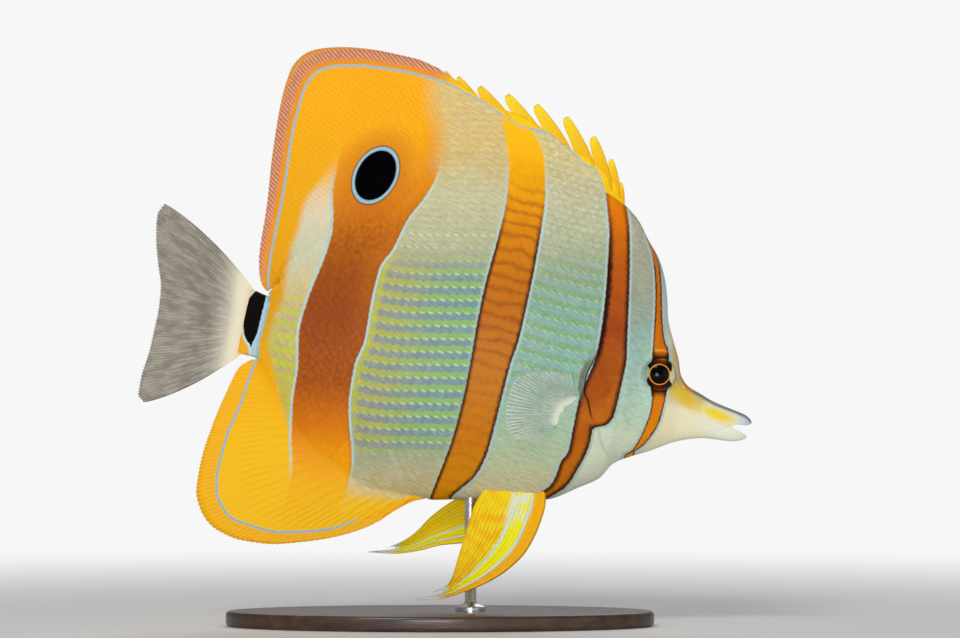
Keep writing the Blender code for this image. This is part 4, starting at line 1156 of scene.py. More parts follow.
def fish_surface(name, coat_roughness):
    """A material that reads the fish's colours. Its black paint is duller than the light paint."""
    made, p, shader = surface(name, Coat_Weight=0.04, Coat_Roughness=coat_roughness)
    look = p.node("ShaderNodeGroup", {"node_tree": fish_colours}).outputs
    light_paint = p.node("ShaderNodeRGBToBW", i0=look["Color"]).outputs[0]
    p.put(shader.inputs["Specular IOR Level"], p.span(light_paint, 0.0, 0.06, 0.01, 0.14))
    return made, p, shader, look["Color"], look["Height"], light_paint


def fish_skin():
    made, p, shader, tint, height, light_paint = fish_surface("fish_skin", 0.25)
    p.put(shader.inputs["Base Color"], tint)
    p.put(shader.inputs["Roughness"], p.span(height, 0.2, 0.8, 0.42, 0.58))
    p.put(shader.inputs["Coat Weight"], p.span(light_paint, 0.0, 0.06, 0.0, 0.04))
    bumped(p, shader, height, 0.00008)
    return made


def linked(name, data):
    """A new object in the scene."""
    made = bpy.data.objects.new(name, data)
    bpy.context.scene.collection.objects.link(made)
    return made


def piece(name, mesh, material, slot, *nodes):
    """Puts a finished mesh in the scene: it rides on the body and stands for CAD nodes. Its slot, a finish's name, is
    not used.
    """
    made = linked(name, mesh)
    mesh.materials.append(material)
    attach(made, "root")
    if nodes:
        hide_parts(*nodes)
    return made


FLESH = (
    "head", "upper_jaw", "lower_jaw", "gill_cover_left", "gill_cover_right", "trunk", "tail_stalk",
    "dorsal_fin_spiny", "dorsal_fin_soft", "anal_fin",
)
write_marks(skin_mesh)
piece("skin", skin_mesh, fish_skin(), "skin", *FLESH)

# %% [markdown]
# Scales cover the body like roof tiles. They sit in rows along the fish, each row half a scale on from the last,
# and each scale's rear edge lies over the next one. On the head they are half as big, and the fins have none. The
# places come from the same lattice that the colours read, so a green spot falls on a scale and not between two.

# %% Where the scales sit
HEAD_SHARE = 0.5
HEAD_LIFT = 0.11
SNOUT_START = 104.0


def lattice_sites(share, salt):
    """Lattice points over the whole side, with the lattice made smaller by share."""
    lanes = np.arange(-36 / share, 44 / share).astype(int)
    columns = np.arange(-4 / share, 52 / share).astype(int)
    lane, column = np.meshgrid(lanes, columns, indexing="ij")
    u = (column + 0.5 * (lane % 2)) * SCALE_LENGTH * share
    v = LANE_START + lane * LANE_HEIGHT * share + lane_height(u)
    u, v = u.ravel(), v.ravel()
    rng = np.random.default_rng(salt)
    return u + rng.normal(0, 0.05 * share, u.size), v + rng.normal(0, 0.04 * share, u.size)


def choose_sites():
    """The sites of one side as rows of u, v and size, large on the flank and small on the head."""
    chosen = []
    for share, salt in ((1.0, 3), (HEAD_SHARE, 5)):
        u, v = lattice_sites(share, salt)
        m = marks(u, v)
        on_body = (v < back(u) - 0.9) & (v > belly(u) + 0.9) & (u > 1.0)
        flank = on_body & (m["shoulder_rear"] < -1.0) & (m["rim_out"] < -0.9)
        in_outline = (v < back(u) - 0.7) & (v > belly(u) + 0.6) & (u < SNOUT_START)
        keep = flank if share == 1.0 else in_outline & (m["shoulder_rear"] >= -1.0) & (m["rim_out"] < -0.7)
        eye = np.hypot(u - EYE_CENTRE[0], v - EYE_CENTRE[1]) < EYE_RADIUS + 1.1
        slit = line_distance(GILL_SLIT, u, v)
        slit_band = (np.abs(slit) < 0.55) & (v < 13) & (v > -15)
        nostril = np.min([np.hypot(u - a, v - b) for a, b in NOSTRILS], axis=0) < 1.3
        du, dv, cos, sin = u - OCELLUS[0], v - OCELLUS[1], math.cos(OCELLUS_TILT), math.sin(OCELLUS_TILT)
        along, across = (du * cos + dv * sin) / OCELLUS_HALVES[0], (-du * sin + dv * cos) / OCELLUS_HALVES[1]
        false_eye = np.hypot(along, across) < 1.1
        keep &= ~eye & ~slit_band & ~nostril & ~false_eye
        size = np.full(u.size, share)
        size *= 1 - 0.35 * smooth(u, 96, SNOUT_START)
        size *= 1 - 0.25 * smooth(np.maximum(v - back(u), belly(u) - v), -5, -1)
        chosen.append(np.stack([u, v, size], axis=1)[keep])
    return np.vstack(chosen)


SITES = choose_sites()
print(len(SITES), "scales a side")

# %% [markdown]
# One scale is a thin shield of twelve corners: a rounded rear edge that stands off the skin, and a front that sinks
# into it. Geometry Nodes set one on every site, turned to the skin's own slope and to the lie of the rows, with a
# little seeded tilt and tone so that no two catch the light quite alike.

# %% One scale
SCALE_REAR, SCALE_FRONT, SCALE_HALF = 1.42, -1.9, 1.38
SCALE_OUTLINE = (
    (SCALE_REAR, 0.0), (1.2, 0.62), (0.66, 1.12), (-0.1, SCALE_HALF), (-1.0, 1.22), (-1.7, 0.6), (SCALE_FRONT, 0.0),
)
REAR_LIFT, FRONT_SINK, CROWN = 0.13, 0.2, 0.08


def scale_shape():
    """A closed shield in millimetres: x runs to the tail, z away from the skin."""
    upper = list(SCALE_OUTLINE)
    ring = upper + [(x, -w) for x, w in upper[-2:0:-1]]
    slope = (REAR_LIFT + FRONT_SINK) / (SCALE_REAR - SCALE_FRONT)

    def top(x, w):
        return (x - SCALE_REAR) * slope + REAR_LIFT - CROWN * (w / SCALE_HALF) ** 2

    points = [(x, w, top(x, w)) for x, w in ring]
    points += [(0.1, 0.0, top(0.1, 0) + 0.05), (0.75, 0.0, -0.7)]
    n = len(ring)
    faces = [(i, (i + 1) % n, n) for i in range(n)] + [((i + 1) % n, i, n + 1) for i in range(n)]
    mesh = bpy.data.meshes.new("scale_shape")
    mesh.from_pydata([tuple(c * MM for c in p) for p in points], [], faces)
    mesh = turned_out(mesh)
    sharp = mesh.attributes.new("sharp_edge", "BOOLEAN", "EDGE")
    for edge_at, entry in zip(mesh.edges, sharp.data):
        entry.value = max(edge_at.vertices) < n
    for key, axis in (("scale_x", 0), ("scale_w", 1)):
        store(mesh, key, [p[axis] for p in points])
    return linked("scale_shape", mesh)


shape = scale_shape()

# %% The tree that lays the scales
def lay_scales_tree():
    tree = bpy.data.node_groups.new("lay_scales", "GeometryNodeTree")
    sockets = {}
    for name, kind in (
        ("Geometry", "Geometry"), ("Scale shape", "Object"), ("Finish", "Material"), ("Tilt", "Float"),
        ("Size spread", "Float"), ("Seed", "Int"),
    ):
        sockets[name] = tree.interface.new_socket(name, in_out="INPUT", socket_type=f"NodeSocket{kind}").identifier
    tree.interface.new_socket("Geometry", in_out="OUTPUT", socket_type="NodeSocketGeometry")
    g = Paint(tree)
    start = g.node("NodeGroupInput")
    source = {s.name: s for s in start.outputs}

    def named(name, kind):
        made = g.node("GeometryNodeInputNamedAttribute", {"data_type": kind})
        made.inputs["Name"].default_value = name
        return made.outputs["Attribute"]

    stand = g.node("FunctionNodeAlignRotationToVector", {"axis": "Z"}, Vector=named("normal_to_skin", "FLOAT_VECTOR"))
    lie = g.node("FunctionNodeAlignRotationToVector", {"axis": "X", "pivot_axis": "Z"}, Rotation=stand.outputs[0])
    g.put(lie.inputs["Vector"], named("lie", "FLOAT_VECTOR"))
    low = g.node("ShaderNodeVectorMath", {"operation": "SCALE"}, i0=(-1, -1, -1), Scale=source["Tilt"])
    high = g.node("ShaderNodeVectorMath", {"operation": "SCALE"}, i0=(1, 1, 1), Scale=source["Tilt"])
    tilt = g.node("FunctionNodeRandomValue", {"data_type": "FLOAT_VECTOR"}, i0=low.outputs[0], i1=high.outputs[0])
    g.put(tilt.inputs["Seed"], source["Seed"])
    euler = g.node("FunctionNodeEulerToRotation", i0=tilt.outputs[0])
    turned = g.node("FunctionNodeRotateRotation", {"rotation_space": "LOCAL"})
    g.put(turned.inputs[0], lie.outputs[0])
    g.put(turned.inputs[1], euler.outputs[0])
    spread = g.node("FunctionNodeRandomValue", {"data_type": "FLOAT"})
    g.put(spread.inputs[2], g.less(1.0, source["Size spread"]))
    g.put(spread.inputs[3], g.add(1.0, source["Size spread"]))
    g.put(spread.inputs["Seed"], source["Seed"])
    size = g.times(spread.outputs[1], named("size", "FLOAT"))
    one = g.node("GeometryNodeObjectInfo", Object=source["Scale shape"])
    laid = g.node("GeometryNodeInstanceOnPoints")
    g.put(laid.inputs["Points"], source["Geometry"])
    g.put(laid.inputs["Instance"], one.outputs["Geometry"])
    g.put(laid.inputs["Rotation"], turned.outputs[0])
    g.put(laid.inputs["Scale"], g.vector(size, size, g.times(size, size)))
    tone = g.node("FunctionNodeRandomValue", {"data_type": "FLOAT"})
    g.put(tone.inputs["Seed"], g.add(source["Seed"], 7.0))
    keep = g.node("GeometryNodeStoreNamedAttribute", {"data_type": "FLOAT", "domain": "INSTANCE"})
    g.put(keep.inputs["Geometry"], laid.outputs[0])
    keep.inputs["Name"].default_value = "tone"
    g.put(keep.inputs["Value"], tone.outputs[1])
    real = g.node("GeometryNodeRealizeInstances", i0=keep.outputs[0])
    finish = g.node("GeometryNodeSetMaterial", i0=real.outputs[0])
    g.put(finish.inputs["Material"], source["Finish"])
    g.put(tree.nodes.new("NodeGroupOutput").inputs[0], finish.outputs[0])
    return tree, sockets


lay_scales, lay_sockets = lay_scales_tree()


def scale_material():
    """The fish's own colours, with each scale's growth lines, a painted rim highlight and painted shade at its root."""
    made, p, shader, tint, height, _ = fish_surface("fish_scales", 0.3)
    x, w, tone = p.attribute("scale_x"), p.attribute("scale_w"), p.attribute("tone")
    rim = p.reach(p.less(x, -0.2), w)
    # Painted light: the rim is up to a tenth brighter as a painted highlight, and the root end darker as painted shade
    # under the scale ahead. The tone is random.
    light = p.all(
        p.span(rim, 1.15, 1.5, 1.0, 1.1), p.span(x, -1.2, -0.2, 0.93, 1.0), p.span(tone, 0.0, 1.0, 0.96, 1.05),
    )
    p.put(shader.inputs["Base Color"], p.shade(tint, light))
    p.put(shader.inputs["Roughness"], p.span(tone, 0.0, 1.0, 0.38, 0.52))
    growth = p.math("SINE", p.add(p.times(x, 11.0), p.times(w, 7.0)))
    bumped(p, shader, p.add(p.times(growth, 0.3), height), 0.00004)
    return made


scales_finish = scale_material()

# %% [markdown]
# The sites lie on the skin wherever a line straight in from the side meets it. Each keeps the skin's slope there and
# the way to the tail. Once laid, the scales become one plain mesh, get the same marks as the skin, and get a map in
# which each scale has a small patch of its own on a chart of the fish's side, for baking.

# %% Laying the scales
PATCH, SCALE_SPAN = 0.003, 3.4
CHART_U, CHART_V = (-10.0, 125.0), (-60.0, 82.0)
OUTSIDE = 30.0


def bake_map(mesh, side, per_scale):
    """A UV map of one small patch for each scale, at its root's place on a chart of its own side of the fish."""
    at = (SITES[:, 0] - CHART_U[0]) / (CHART_U[1] - CHART_U[0]) * 0.48 + (0.01 if side < 0 else 0.51)
    up = (SITES[:, 1] - CHART_V[0]) / (CHART_V[1] - CHART_V[0]) * 0.98 + 0.01
    x, w = (np.empty(len(mesh.vertices), np.float32) for _ in range(2))
    mesh.attributes["scale_x"].data.foreach_get("value", x)
    mesh.attributes["scale_w"].data.foreach_get("value", w)
    number = np.arange(len(mesh.vertices)) // per_scale
    chart = np.stack([at[number] + x / SCALE_SPAN * PATCH, up[number] + w / SCALE_SPAN * PATCH], axis=1)
    corners = np.empty(len(mesh.loops), np.int32)
    mesh.loops.foreach_get("vertex_index", corners)
    mesh.uv_layers.new(name="OFBake").data.foreach_set("uv", chart[corners].astype(np.float32).ravel())


def lay_scales_on(name, side, ground):
    """One side's scales as a plain mesh."""
    u, v, size = SITES.T
    starts = place(u, side * OUTSIDE, v)
    ahead = np.array([math.cos(PITCH), 0, -math.sin(PITCH)])
    up = np.array([math.sin(PITCH), 0, math.cos(PITCH)])
    places, normals, lies = [], [], []
    for start, slope, part in zip(starts, STREAK_SLOPE(u), size.tolist()):
        hit, normal, _, _ = ground.ray_cast(Vector(start), Vector((0, -side, 0)))
        places.append((hit + normal * HEAD_LIFT * MM * (1 - part))[:])
        normals.append(normal[:])
        lies.append(tuple(-(ahead + slope * up)))
    mesh = bpy.data.meshes.new(name)
    mesh.from_pydata(places, [], [])
    store(mesh, "normal_to_skin", normals, "FLOAT_VECTOR")
    store(mesh, "lie", lies, "FLOAT_VECTOR")
    store(mesh, "size", size)
    carrier = linked(name, mesh)
    laid = carrier.modifiers.new("lay_scales", "NODES")
    laid.node_group = lay_scales
    inputs = {"Scale shape": shape, "Finish": scales_finish, "Tilt": 0.05, "Size spread": 0.05, "Seed": 11 + side}
    for key, value in inputs.items():
        laid[lay_sockets[key]] = value
    graph = bpy.context.evaluated_depsgraph_get()
    made = bpy.data.meshes.new_from_object(carrier.evaluated_get(graph))
    bpy.data.objects.remove(carrier)
    for key in ("normal_to_skin", "lie", "size"):
        if key in made.attributes:
            made.attributes.remove(made.attributes[key])
    made.name = name
    write_marks(made)
    bake_map(made, side, len(shape.data.vertices))
    made.materials.clear()
    print(name, len(made.polygons), "triangles")
    return made


skin_tree = BVHTree.FromPolygons([v.co[:] for v in skin_mesh.vertices], [tuple(f.vertices) for f in skin_mesh.polygons])
for side_name, side in SIDES.items():
    piece(f"scales_{side_name}", lay_scales_on(f"scales_{side_name}", side, skin_tree), scales_finish, "skin")
bpy.data.objects.remove(shape)

# %% [markdown]
# Each of the nine dorsal spines stands free at its tip and carries a lobe of yellow membrane behind it. A blade is
# a grid of middle points with a thickness: rows follow the spine, and columns cross from the round spine at the
# front to the thin edge of its lobe. The same helper makes every other free fin further on.

# %% The dorsal spines and their lobes
def blade(shell, u, y, v, half, ray=0.0, fin=0.0):
    """Adds a closed blade to a shell, from its middle points and half its thickness across."""
    sheets = [shell.add(u, y + side * half, v, ray, fin) for side in (-1, 1)]
    for sheet in sheets:
        shell.quads(sheet)
    for margin in (np.s_[0], np.s_[-1], np.s_[:, 0], np.s_[:, -1]):
        bridge(shell, sheets[0][margin], sheets[1][margin])


DORSAL_SPINES = (
    (86.6, (85.2, 56.2), 1.3), (85.6, (81.6, 61.7), 1.8), (83.6, (76.0, 66.6), 2.8),
    (80.6, (67.9, 70.2), 3.0), (76.0, (59.6, 71.8), 3.2), (70.0, (51.6, 72.8), 3.2),
    (63.0, (44.0, 73.3), 3.0), (56.0, (37.9, 74.5), 2.0), (49.5, (34.4, 75.2), 1.0),
)
LOBE_BREADTH = curve(((0.0, 1.2), (0.35, 1.25), (0.7, 1.0), (0.93, 0.75), (1.0, 0.4)))
SPINE_RADIUS, SPINE_TIP_RADIUS, SPINE_BOW = 0.62, 0.24, 0.05


def spine_lobe(shell, root_u, tip, breadth):
    root = np.array([root_u, float(back(root_u)) - 0.6])
    way = np.array(tip) - root
    length = float(np.hypot(*way))
    ahead = np.array([way[1], -way[0]]) / length
    s = np.linspace(0, 1, 29)[:, None]
    radius = SPINE_RADIUS + (SPINE_TIP_RADIUS - SPINE_RADIUS) * s
    radius = radius * (1 - 0.6 * smooth(s, 0.93, 1.0))
    wide = np.maximum(breadth * LOBE_BREADTH(s), radius * 1.3)
    c = np.linspace(0, 1, 13)[None, :]
    behind = -radius + (wide + radius) * c**1.3
    round_part = np.sqrt(np.clip(radius**2 - behind**2, 0, None))
    half = np.maximum(round_part, 0.16 + 0.05 * np.cos(behind * 9) * (1 - c)) * (1 - 0.5 * c**6)
    half[:, 0] = 0.04
    middle = root + way * s[..., None] + ahead * length * SPINE_BOW * (4 * s * (1 - s))[..., None]
    points = middle - ahead * behind[..., None]
    above = marks(points[..., 0].ravel(), points[..., 1].ravel())["rim_out"].reshape(half.shape)
    half = half * (0.3 + 0.7 * smooth(above, -0.4, 0.9))
    blade(shell, points[..., 0], 0.0, points[..., 1], half, 0.0, s + 0 * c)


lobes = Shell()
for root_u, tip, breadth in DORSAL_SPINES:
    spine_lobe(lobes, root_u, tip, breadth)
lobes_mesh = lobes.mesh("spine_lobes")
write_marks(lobes_mesh)


def lobe_colours():
    made, p, shader = surface("lobe_yellow", Coat_Weight=0.05, Coat_Roughness=0.3, Specular_IOR_Level=0.15)
    across = p.noise(p.millimetres(), 1.6, 3, 0.6)
    tint = p.gradient(
        p.attribute("fin"), (0.0, 236, 168, 10), (0.55, 248, 190, 4), (0.8, 250, 208, 0), (1.0, 252, 226, 40),
    )
    tint = p.mix(p.span(across, 0.4, 0.75, 0.0, 0.4), tint, colour(244, 164, 12))
    tint = p.mix(p.span(p.attribute("middle_rear"), -4.0, 2.0, 0.35, 0.0), tint, colour(246, 160, 20))
    p.put(shader.inputs["Base Color"], tint)
    p.put(shader.inputs["Roughness"], p.span(across, 0.2, 0.8, 0.4, 0.55))
    bumped(p, shader, across, 0.0001)
    return made


piece("spine_lobes", lobes_mesh, lobe_colours(), "fin_yellow", "dorsal_fin_spiny")

# %% [markdown]
# The eye is a flattened ball under a clear wet cornea. The band that crosses the head goes on over the iris, which
# hides the eye from hunters: the iris is nearly black above and below the pupil, with amber only at its rims, cream
# in front and grey-green behind. The pattern reads the distance and the direction from the pupil's middle.

# %% The eyes
EYE_HALVES = (4.35, 2.9, 4.35)
EYE_OUT = 5.6


def eye_ball(side):
    """A flattened ball whose poles look outwards, with its rings close round the pupil."""
    rings, around = 40, 72
    polar = np.linspace(0, math.pi, rings + 1)[1:-1, None]
    turn = np.linspace(0, 2 * math.pi, around + 1)[None, :-1]
    shell = Shell()
    u = EYE_CENTRE[0] + EYE_HALVES[0] * np.sin(polar) * np.cos(turn)
    v = EYE_CENTRE[1] + EYE_HALVES[2] * np.sin(polar) * np.sin(turn)
    made = shell.add(u, side * (EYE_OUT + EYE_HALVES[1] * np.cos(polar) + 0 * turn), v)
    shell.quads(np.hstack([made, made[:, :1]]))
    for ring, out in ((made[0], 1), (made[-1], -1)):
        closing_fan(shell, ring, (EYE_CENTRE[0], side * (EYE_OUT + out * EYE_HALVES[1]), EYE_CENTRE[1]))
    return shell


def eye_material():
    made, p, shader = surface(
        "wet_eye", Coat_Weight=0.4, Coat_Roughness=0.03, Coat_IOR=1.36, Roughness=0.5, Specular_IOR_Level=0.0,
    )
    split = p.node("ShaderNodeSeparateXYZ", i0=p.millimetres())
    du = p.less(split.outputs[0], EYE_CENTRE[0])
    dv = p.less(split.outputs[2], EYE_CENTRE[1])
    away = p.reach(du, dv)
    flecks = p.noise(p.millimetres(), 2.2, 4, 0.65)
    lean = p.add(du, p.times(dv, 0.22))
    band = p.gradient(
        dv, (-4.3, 170, 74, 0), (-3.4, 84, 26, 8), (-2.4, 30, 12, 8), (2.4, 28, 12, 10), (3.2, 84, 34, 8),
        (3.8, 150, 70, 8), (4.3, 214, 120, 10),
    )
    flank = p.mix(p.span(lean, -0.5, 0.5), colour(150, 178, 150), colour(222, 208, 168))
    sideways = p.math("ABSOLUTE", lean)
    pale_from = p.span(p.math("ABSOLUTE", dv), 0.8, 2.0, 2.5, 3.2)
    inside = p.mix(p.span(sideways, 1.3, 2.1), band, colour(24, 10, 8))
    inside = p.mix(p.span(p.less(sideways, pale_from), 0.0, 0.4), inside, flank)
    iris = p.shade(inside, p.span(flecks, 0.3, 0.7, 0.8, 1.25))
    iris = p.mix(p.span(away, 2.72, 2.84, 1, 0), iris, colour(236, 150, 40))
    iris = p.mix(p.span(away, 4.0, 4.3, 0.0, 0.7), iris, colour(120, 140, 130))
    iris = p.mix(p.span(away, 2.44, 2.54, 1, 0), iris, colour(2, 2, 3))
    p.put(shader.inputs["Base Color"], iris)
    bumped(p, shader, flecks, 0.00004)
    return made


wet_eye = eye_material()
for name, side in SIDES.items():
    piece(f"eyeball_{name}", eye_ball(side).mesh(f"eyeball_{name}"), wet_eye, "eye", f"eye_{name}")

# %% [markdown]
# The tail fin and the pectoral fins are nearly clear: what one sees is a fan of fine branching rays. The rays stand
# up from the blade as ridges, and the material makes the skin between them thin to the light while the rays stay
# pale. Two coordinates on each point, across the rays and along them, tell it which is which.

# %% The tail fin
TAIL_RAYS = 17
TAIL_FIN_ROOT = ((-1.6, 7.6), (-1.9, 0.0), (-1.6, -7.2))
TAIL_FIN_EDGE = (
    (-30.6, 26.2), (-31.9, 23.0), (-31.0, 17.0), (-29.3, 11.0), (-27.0, 4.0), (-26.4, -3.0),
    (-26.5, -12.0), (-27.2, -20.0), (-27.0, -24.4), (-25.0, -26.2),
)


RAY_CELLS = 10


def ray_fin(name, root, rim, rays, rows, halves, bow=0.0, out=None):
    """A fan of rays from a root path to a rim path. Halves are its root and edge half thickness."""
    s = np.linspace(0, 1, rays * RAY_CELLS + 1)[:, None]
    t = np.linspace(0, 1, rows + 1)[None, :]
    phase = s * rays - 0.5
    (root_u, root_v), (rim_u, rim_v) = path(root), path(rim)
    notch = 1 - 0.02 * (1 - ridges(phase, 1.0)) * t**10
    u = root_u(s) + (rim_u(s) - root_u(s)) * t * notch
    v = root_v(s) + (rim_v(s) - root_v(s)) * t * notch + bow * (1 - 2 * s) * 4 * t * (1 - t)
    thick = halves[1] + (halves[0] - halves[1]) * (1 - t) ** 2
    half = thick * 0.6 + (0.1 + 0.6 * thick) * ridges(phase, t) * smooth(t, 0.12, 0.5)
    y = out(u, v, s, t) if out else 0.0
    shell = Shell()
    blade(shell, u, y, v, half, phase + 0 * t, t + 0 * s)
    return shell.mesh(name)


tail_mesh = ray_fin("tail_fin", TAIL_FIN_ROOT, TAIL_FIN_EDGE, TAIL_RAYS, 40, (1.15, 0.16), bow=2.0)


def clear_material(name, thin, ray_alpha, membrane, ray_tint, root_tint, edge_tint, root_reach, forks=2, dull=0.1):
    """Clear fin skin with pale rays. Thin is how much of the membrane one sees, and dull how pale a ray's dimmest
    stretch is."""
    made, p, shader = surface(name, Roughness=0.4, Coat_Weight=0.2, Coat_Roughness=0.2)
    ray, along = p.attribute("ray"), p.attribute("fin")
    flecks = p.noise(p.millimetres(), 1.4, 4, 0.6)
    one = p.crests(ray, 8.0)
    two = p.crests(p.times(p.add(ray, -0.25), 2.0), 6.0)
    four = p.crests(p.times(p.add(ray, -0.125), 4.0), 4.0)
    split = p.blend(p.span(along, 0.6, 0.8), two, four) if forks > 1 else two
    on_ray = p.blend(p.span(along, 0.25, 0.5), one, split)
    # Painted glints: the rays' paleness, and how clearly they show, changes along them by a noise, and the membrane's
    # tone follows the same noise.
    glints = p.noise(p.vector(p.times(ray, 1.3), p.times(along, 5.0)), 1.0, 3, 0.6)
    lit = p.times(on_ray, p.span(glints, 0.35, 0.65, dull, 1.0))
    tint = p.mix(lit, membrane(p, glints), ray_tint)
    tint = p.mix(p.span(along, root_reach * 0.3, root_reach, 1, 0), tint, root_tint)
    tint = p.mix(p.span(along, 0.02, 0.13, 1, 0), tint, edge_tint)
    p.put(shader.inputs["Base Color"], tint)
    solid = p.span(along, root_reach * 0.4, root_reach * 1.1, 1, 0)
    alpha = p.add(thin, p.times(lit, ray_alpha - thin))
    p.put(shader.inputs["Alpha"], p.math("MAXIMUM", alpha, solid))
    bumped(p, shader, p.times(on_ray, p.span(along, root_reach * 0.5, root_reach * 1.5)), 0.0001)
    return made


def tail_membrane(p, flecks):
    return p.mix(p.span(flecks, 0.3, 0.7), colour(120, 110, 92), colour(156, 146, 126))


tail_clear = clear_material(
    "tail_clear", 0.74, 0.92, tail_membrane, colour(190, 182, 166), colour(232, 224, 196), colour(252, 196, 96), 0.42,
)
piece("tail_fin", tail_mesh, tail_clear, "fin_clear", "caudal_fin")

# %% The pectoral fins
PECTORAL_RAYS = 18
PECTORAL_BASE = ((85.8, -2.4), (84.4, -5.2), (82.4, -8.0))
PECTORAL_TIPS = (
    (82.6, 4.6), (79.8, 4.6), (72.1, 2.9), (68.2, -0.3), (67.6, -5.6), (68.7, -12.0), (72.6, -15.0), (77.6, -14.0),
)


def pectoral_membrane(p, flecks):
    return p.mix(flecks, colour(196, 202, 196), colour(236, 238, 230))


pectoral_clear = clear_material(
    "pectoral_clear", 0.14, 0.62, pectoral_membrane, colour(240, 248, 240), colour(232, 236, 214),
    colour(236, 234, 206), 0.36, forks=1, dull=0.6,
)
for name, side in SIDES.items():
    def stand_out(u, v, s, t, side=side):
        return side * (half_width(u, v) - 1.2 * (1 - t) + 3.6 * t**0.8)

    mesh = ray_fin(f"pectoral_{name}", PECTORAL_BASE, PECTORAL_TIPS, PECTORAL_RAYS, 26, (0.75, 0.1), 0.0, stand_out)
    piece(f"pectoral_{name}", mesh, pectoral_clear, "fin_clear", f"pectoral_fin_{name}")

# %% [markdown]
# The pelvic fins hang from the lower flank, each on one stout spine with five soft rays behind it. They are opaque
# and yellow, with a white-blue line on the spine and white, forked tips. The right one shows its outer face, which
# is orange along the leading edge, and the left one its plain yellow inner face, painted lighter than the right one
# partly as painted light against the shade that the body casts on it. Here the rays run along the fin's length, so
# its front and rear edges are given as two paths.

# %% The pelvic fins
PELVIC_RAYS = 6
PELVIC_FRONT = {
    "right": (
        (82.6, -26.4), (83.3, -31.0), (82.8, -36.0), (81.0, -42.8), (77.6, -48.2), (73.2, -52.6),
        (66.2, -57.3), (61.4, -59.7), (55.5, -61.0),
    ),
    "left": (
        (82.6, -26.4), (81.0, -31.5), (77.0, -37.0), (71.0, -42.0), (64.0, -45.0), (58.5, -46.8),
        (53.7, -49.2), (47.5, -51.4), (40.0, -52.6),
    ),
}
PELVIC_REAR = {
    "right": (
        (67.0, -28.4), (65.0, -35.0), (64.3, -42.0), (63.8, -48.0), (63.4, -52.8), (62.6, -55.6), (59.4, -58.2),
    ),
    "left": (
        (67.0, -28.4), (60.5, -33.5), (56.6, -37.4), (54.1, -40.6), (51.9, -44.2), (49.3, -47.2), (44.8, -50.6),
    ),
}


def pelvic_fin(name, side):
    s = np.linspace(0, 1, PELVIC_RAYS * 12 + 1)[:, None]
    t = np.linspace(0, 1, 61)[None, :]
    (front_u, front_v), (rear_u, rear_v) = path(PELVIC_FRONT[name]), path(PELVIC_REAR[name])
    notch = 1 - 0.01 * (1 - ridges(s * PELVIC_RAYS - 0.5, 1.0)) * t**12
    fork = 1 - 0.12 * smooth(s, 0.25, 0.5) * (1 - smooth(s, 0.6, 0.95)) * t**10
    at = t * notch * fork
    u = front_u(at) + (rear_u(at) - front_u(at)) * s
    v = front_v(at) + (rear_v(at) - front_v(at)) * s
    y = side * (2.6 + 6.5 * t**0.8 + 0.25 * np.sin(s * 9 + t * 4) * smooth(t, 0.1, 0.5) * s)
    spine = 0.42 * hump(s - 0.05, 0.04) * (1 - t) ** 0.6
    half = 0.16 + 0.34 * (1 - t) ** 2 + spine + 0.16 * ridges(s * PELVIC_RAYS - 0.5, t)
    half = half * np.minimum(1.0, 0.3 + 40 * s) * np.minimum(1.0, 0.3 + 30 * (1 - s))
    shell = Shell()
    blade(shell, u, y, v, half, s * PELVIC_RAYS - 0.5 + 0 * t, t + 0 * s)
    return shell.mesh(f"pelvic_{name}")


def pelvic_material(name, leading, middle):
    made, p, shader = surface(name, Coat_Weight=0.05, Coat_Roughness=0.3, Specular_IOR_Level=0.15)
    ray, along = p.attribute("ray"), p.attribute("fin")
    at = p.millimetres()
    flecks = p.noise(at, 1.5, 4, 0.6)
    wave = p.noise(at, 0.35, 2)
    place_on = p.add(ray, p.times(p.less(flecks, 0.5), 0.5))
    tint = p.mix(p.span(wave, 0.35, 0.65), middle, colour(255, 222, 10))
    tint = p.mix(p.window(place_on, 0.7, 0.8, 2.1, 2.5), tint, colour(255, 244, 0))
    tint = p.mix(p.span(place_on, 0.5, 0.7, 1, 0), tint, leading)
    lines = p.crests(p.times(ray, 3.0), 6.0)
    tint = p.mix(p.all(lines, p.span(ray, 2.2, 2.6), p.span(along, 0.05, 0.3), 0.3), tint, colour(244, 156, 0))
    white_lines = p.math(
        "MAXIMUM", p.line(place_on, 0.78, 0.12, 0.12),
        p.times(p.line(place_on, 2.15, 0.13, 0.14), p.span(along, 0.7, 0.85, 1, 0)),
    )
    tint = p.mix(p.times(white_lines, p.span(along, 0.0, 0.08)), tint, colour(206, 232, 236))
    mottle = p.all(p.span(along, 0.06, 0.3, 1.0, 0.0), p.window(place_on, 0.8, 1.2, 2.4, 3.0), p.span(wave, 0.4, 0.55))
    tint = p.mix(mottle, tint, colour(232, 240, 210))
    tint = p.mix(p.span(along, 0.84, 0.93, 0.0, 1.0), tint, colour(255, 255, 252))
    p.put(shader.inputs["Base Color"], tint)
    p.put(shader.inputs["Roughness"], p.span(flecks, 0.2, 0.8, 0.4, 0.6))
    bumped(p, shader, p.add(flecks, lines), 0.0001)
    return made


# The left fin's paint is lighter and plain yellow, partly painted light that offsets the shade the body casts on it.
PELVIC_TINTS = {
    "right": (colour(255, 184, 0), colour(255, 194, 0)), "left": (colour(255, 226, 30), colour(255, 226, 30)),
}
for name, side in SIDES.items():
    pelvic_yellow = pelvic_material(f"pelvic_yellow_{name}", *PELVIC_TINTS[name])
    piece(f"pelvic_{name}", pelvic_fin(name, side), pelvic_yellow, "fin_yellow", f"pelvic_fin_{name}")

# %% [markdown]
# The stand is a turned oval of dark wood with a brushed steel rod. A profile is spun about an upright axis, and the
# oval comes from a different width each way. The wood's grain is one noise stretched along the board, and the
# steel's fine lines run round the rod as a lathe leaves them.

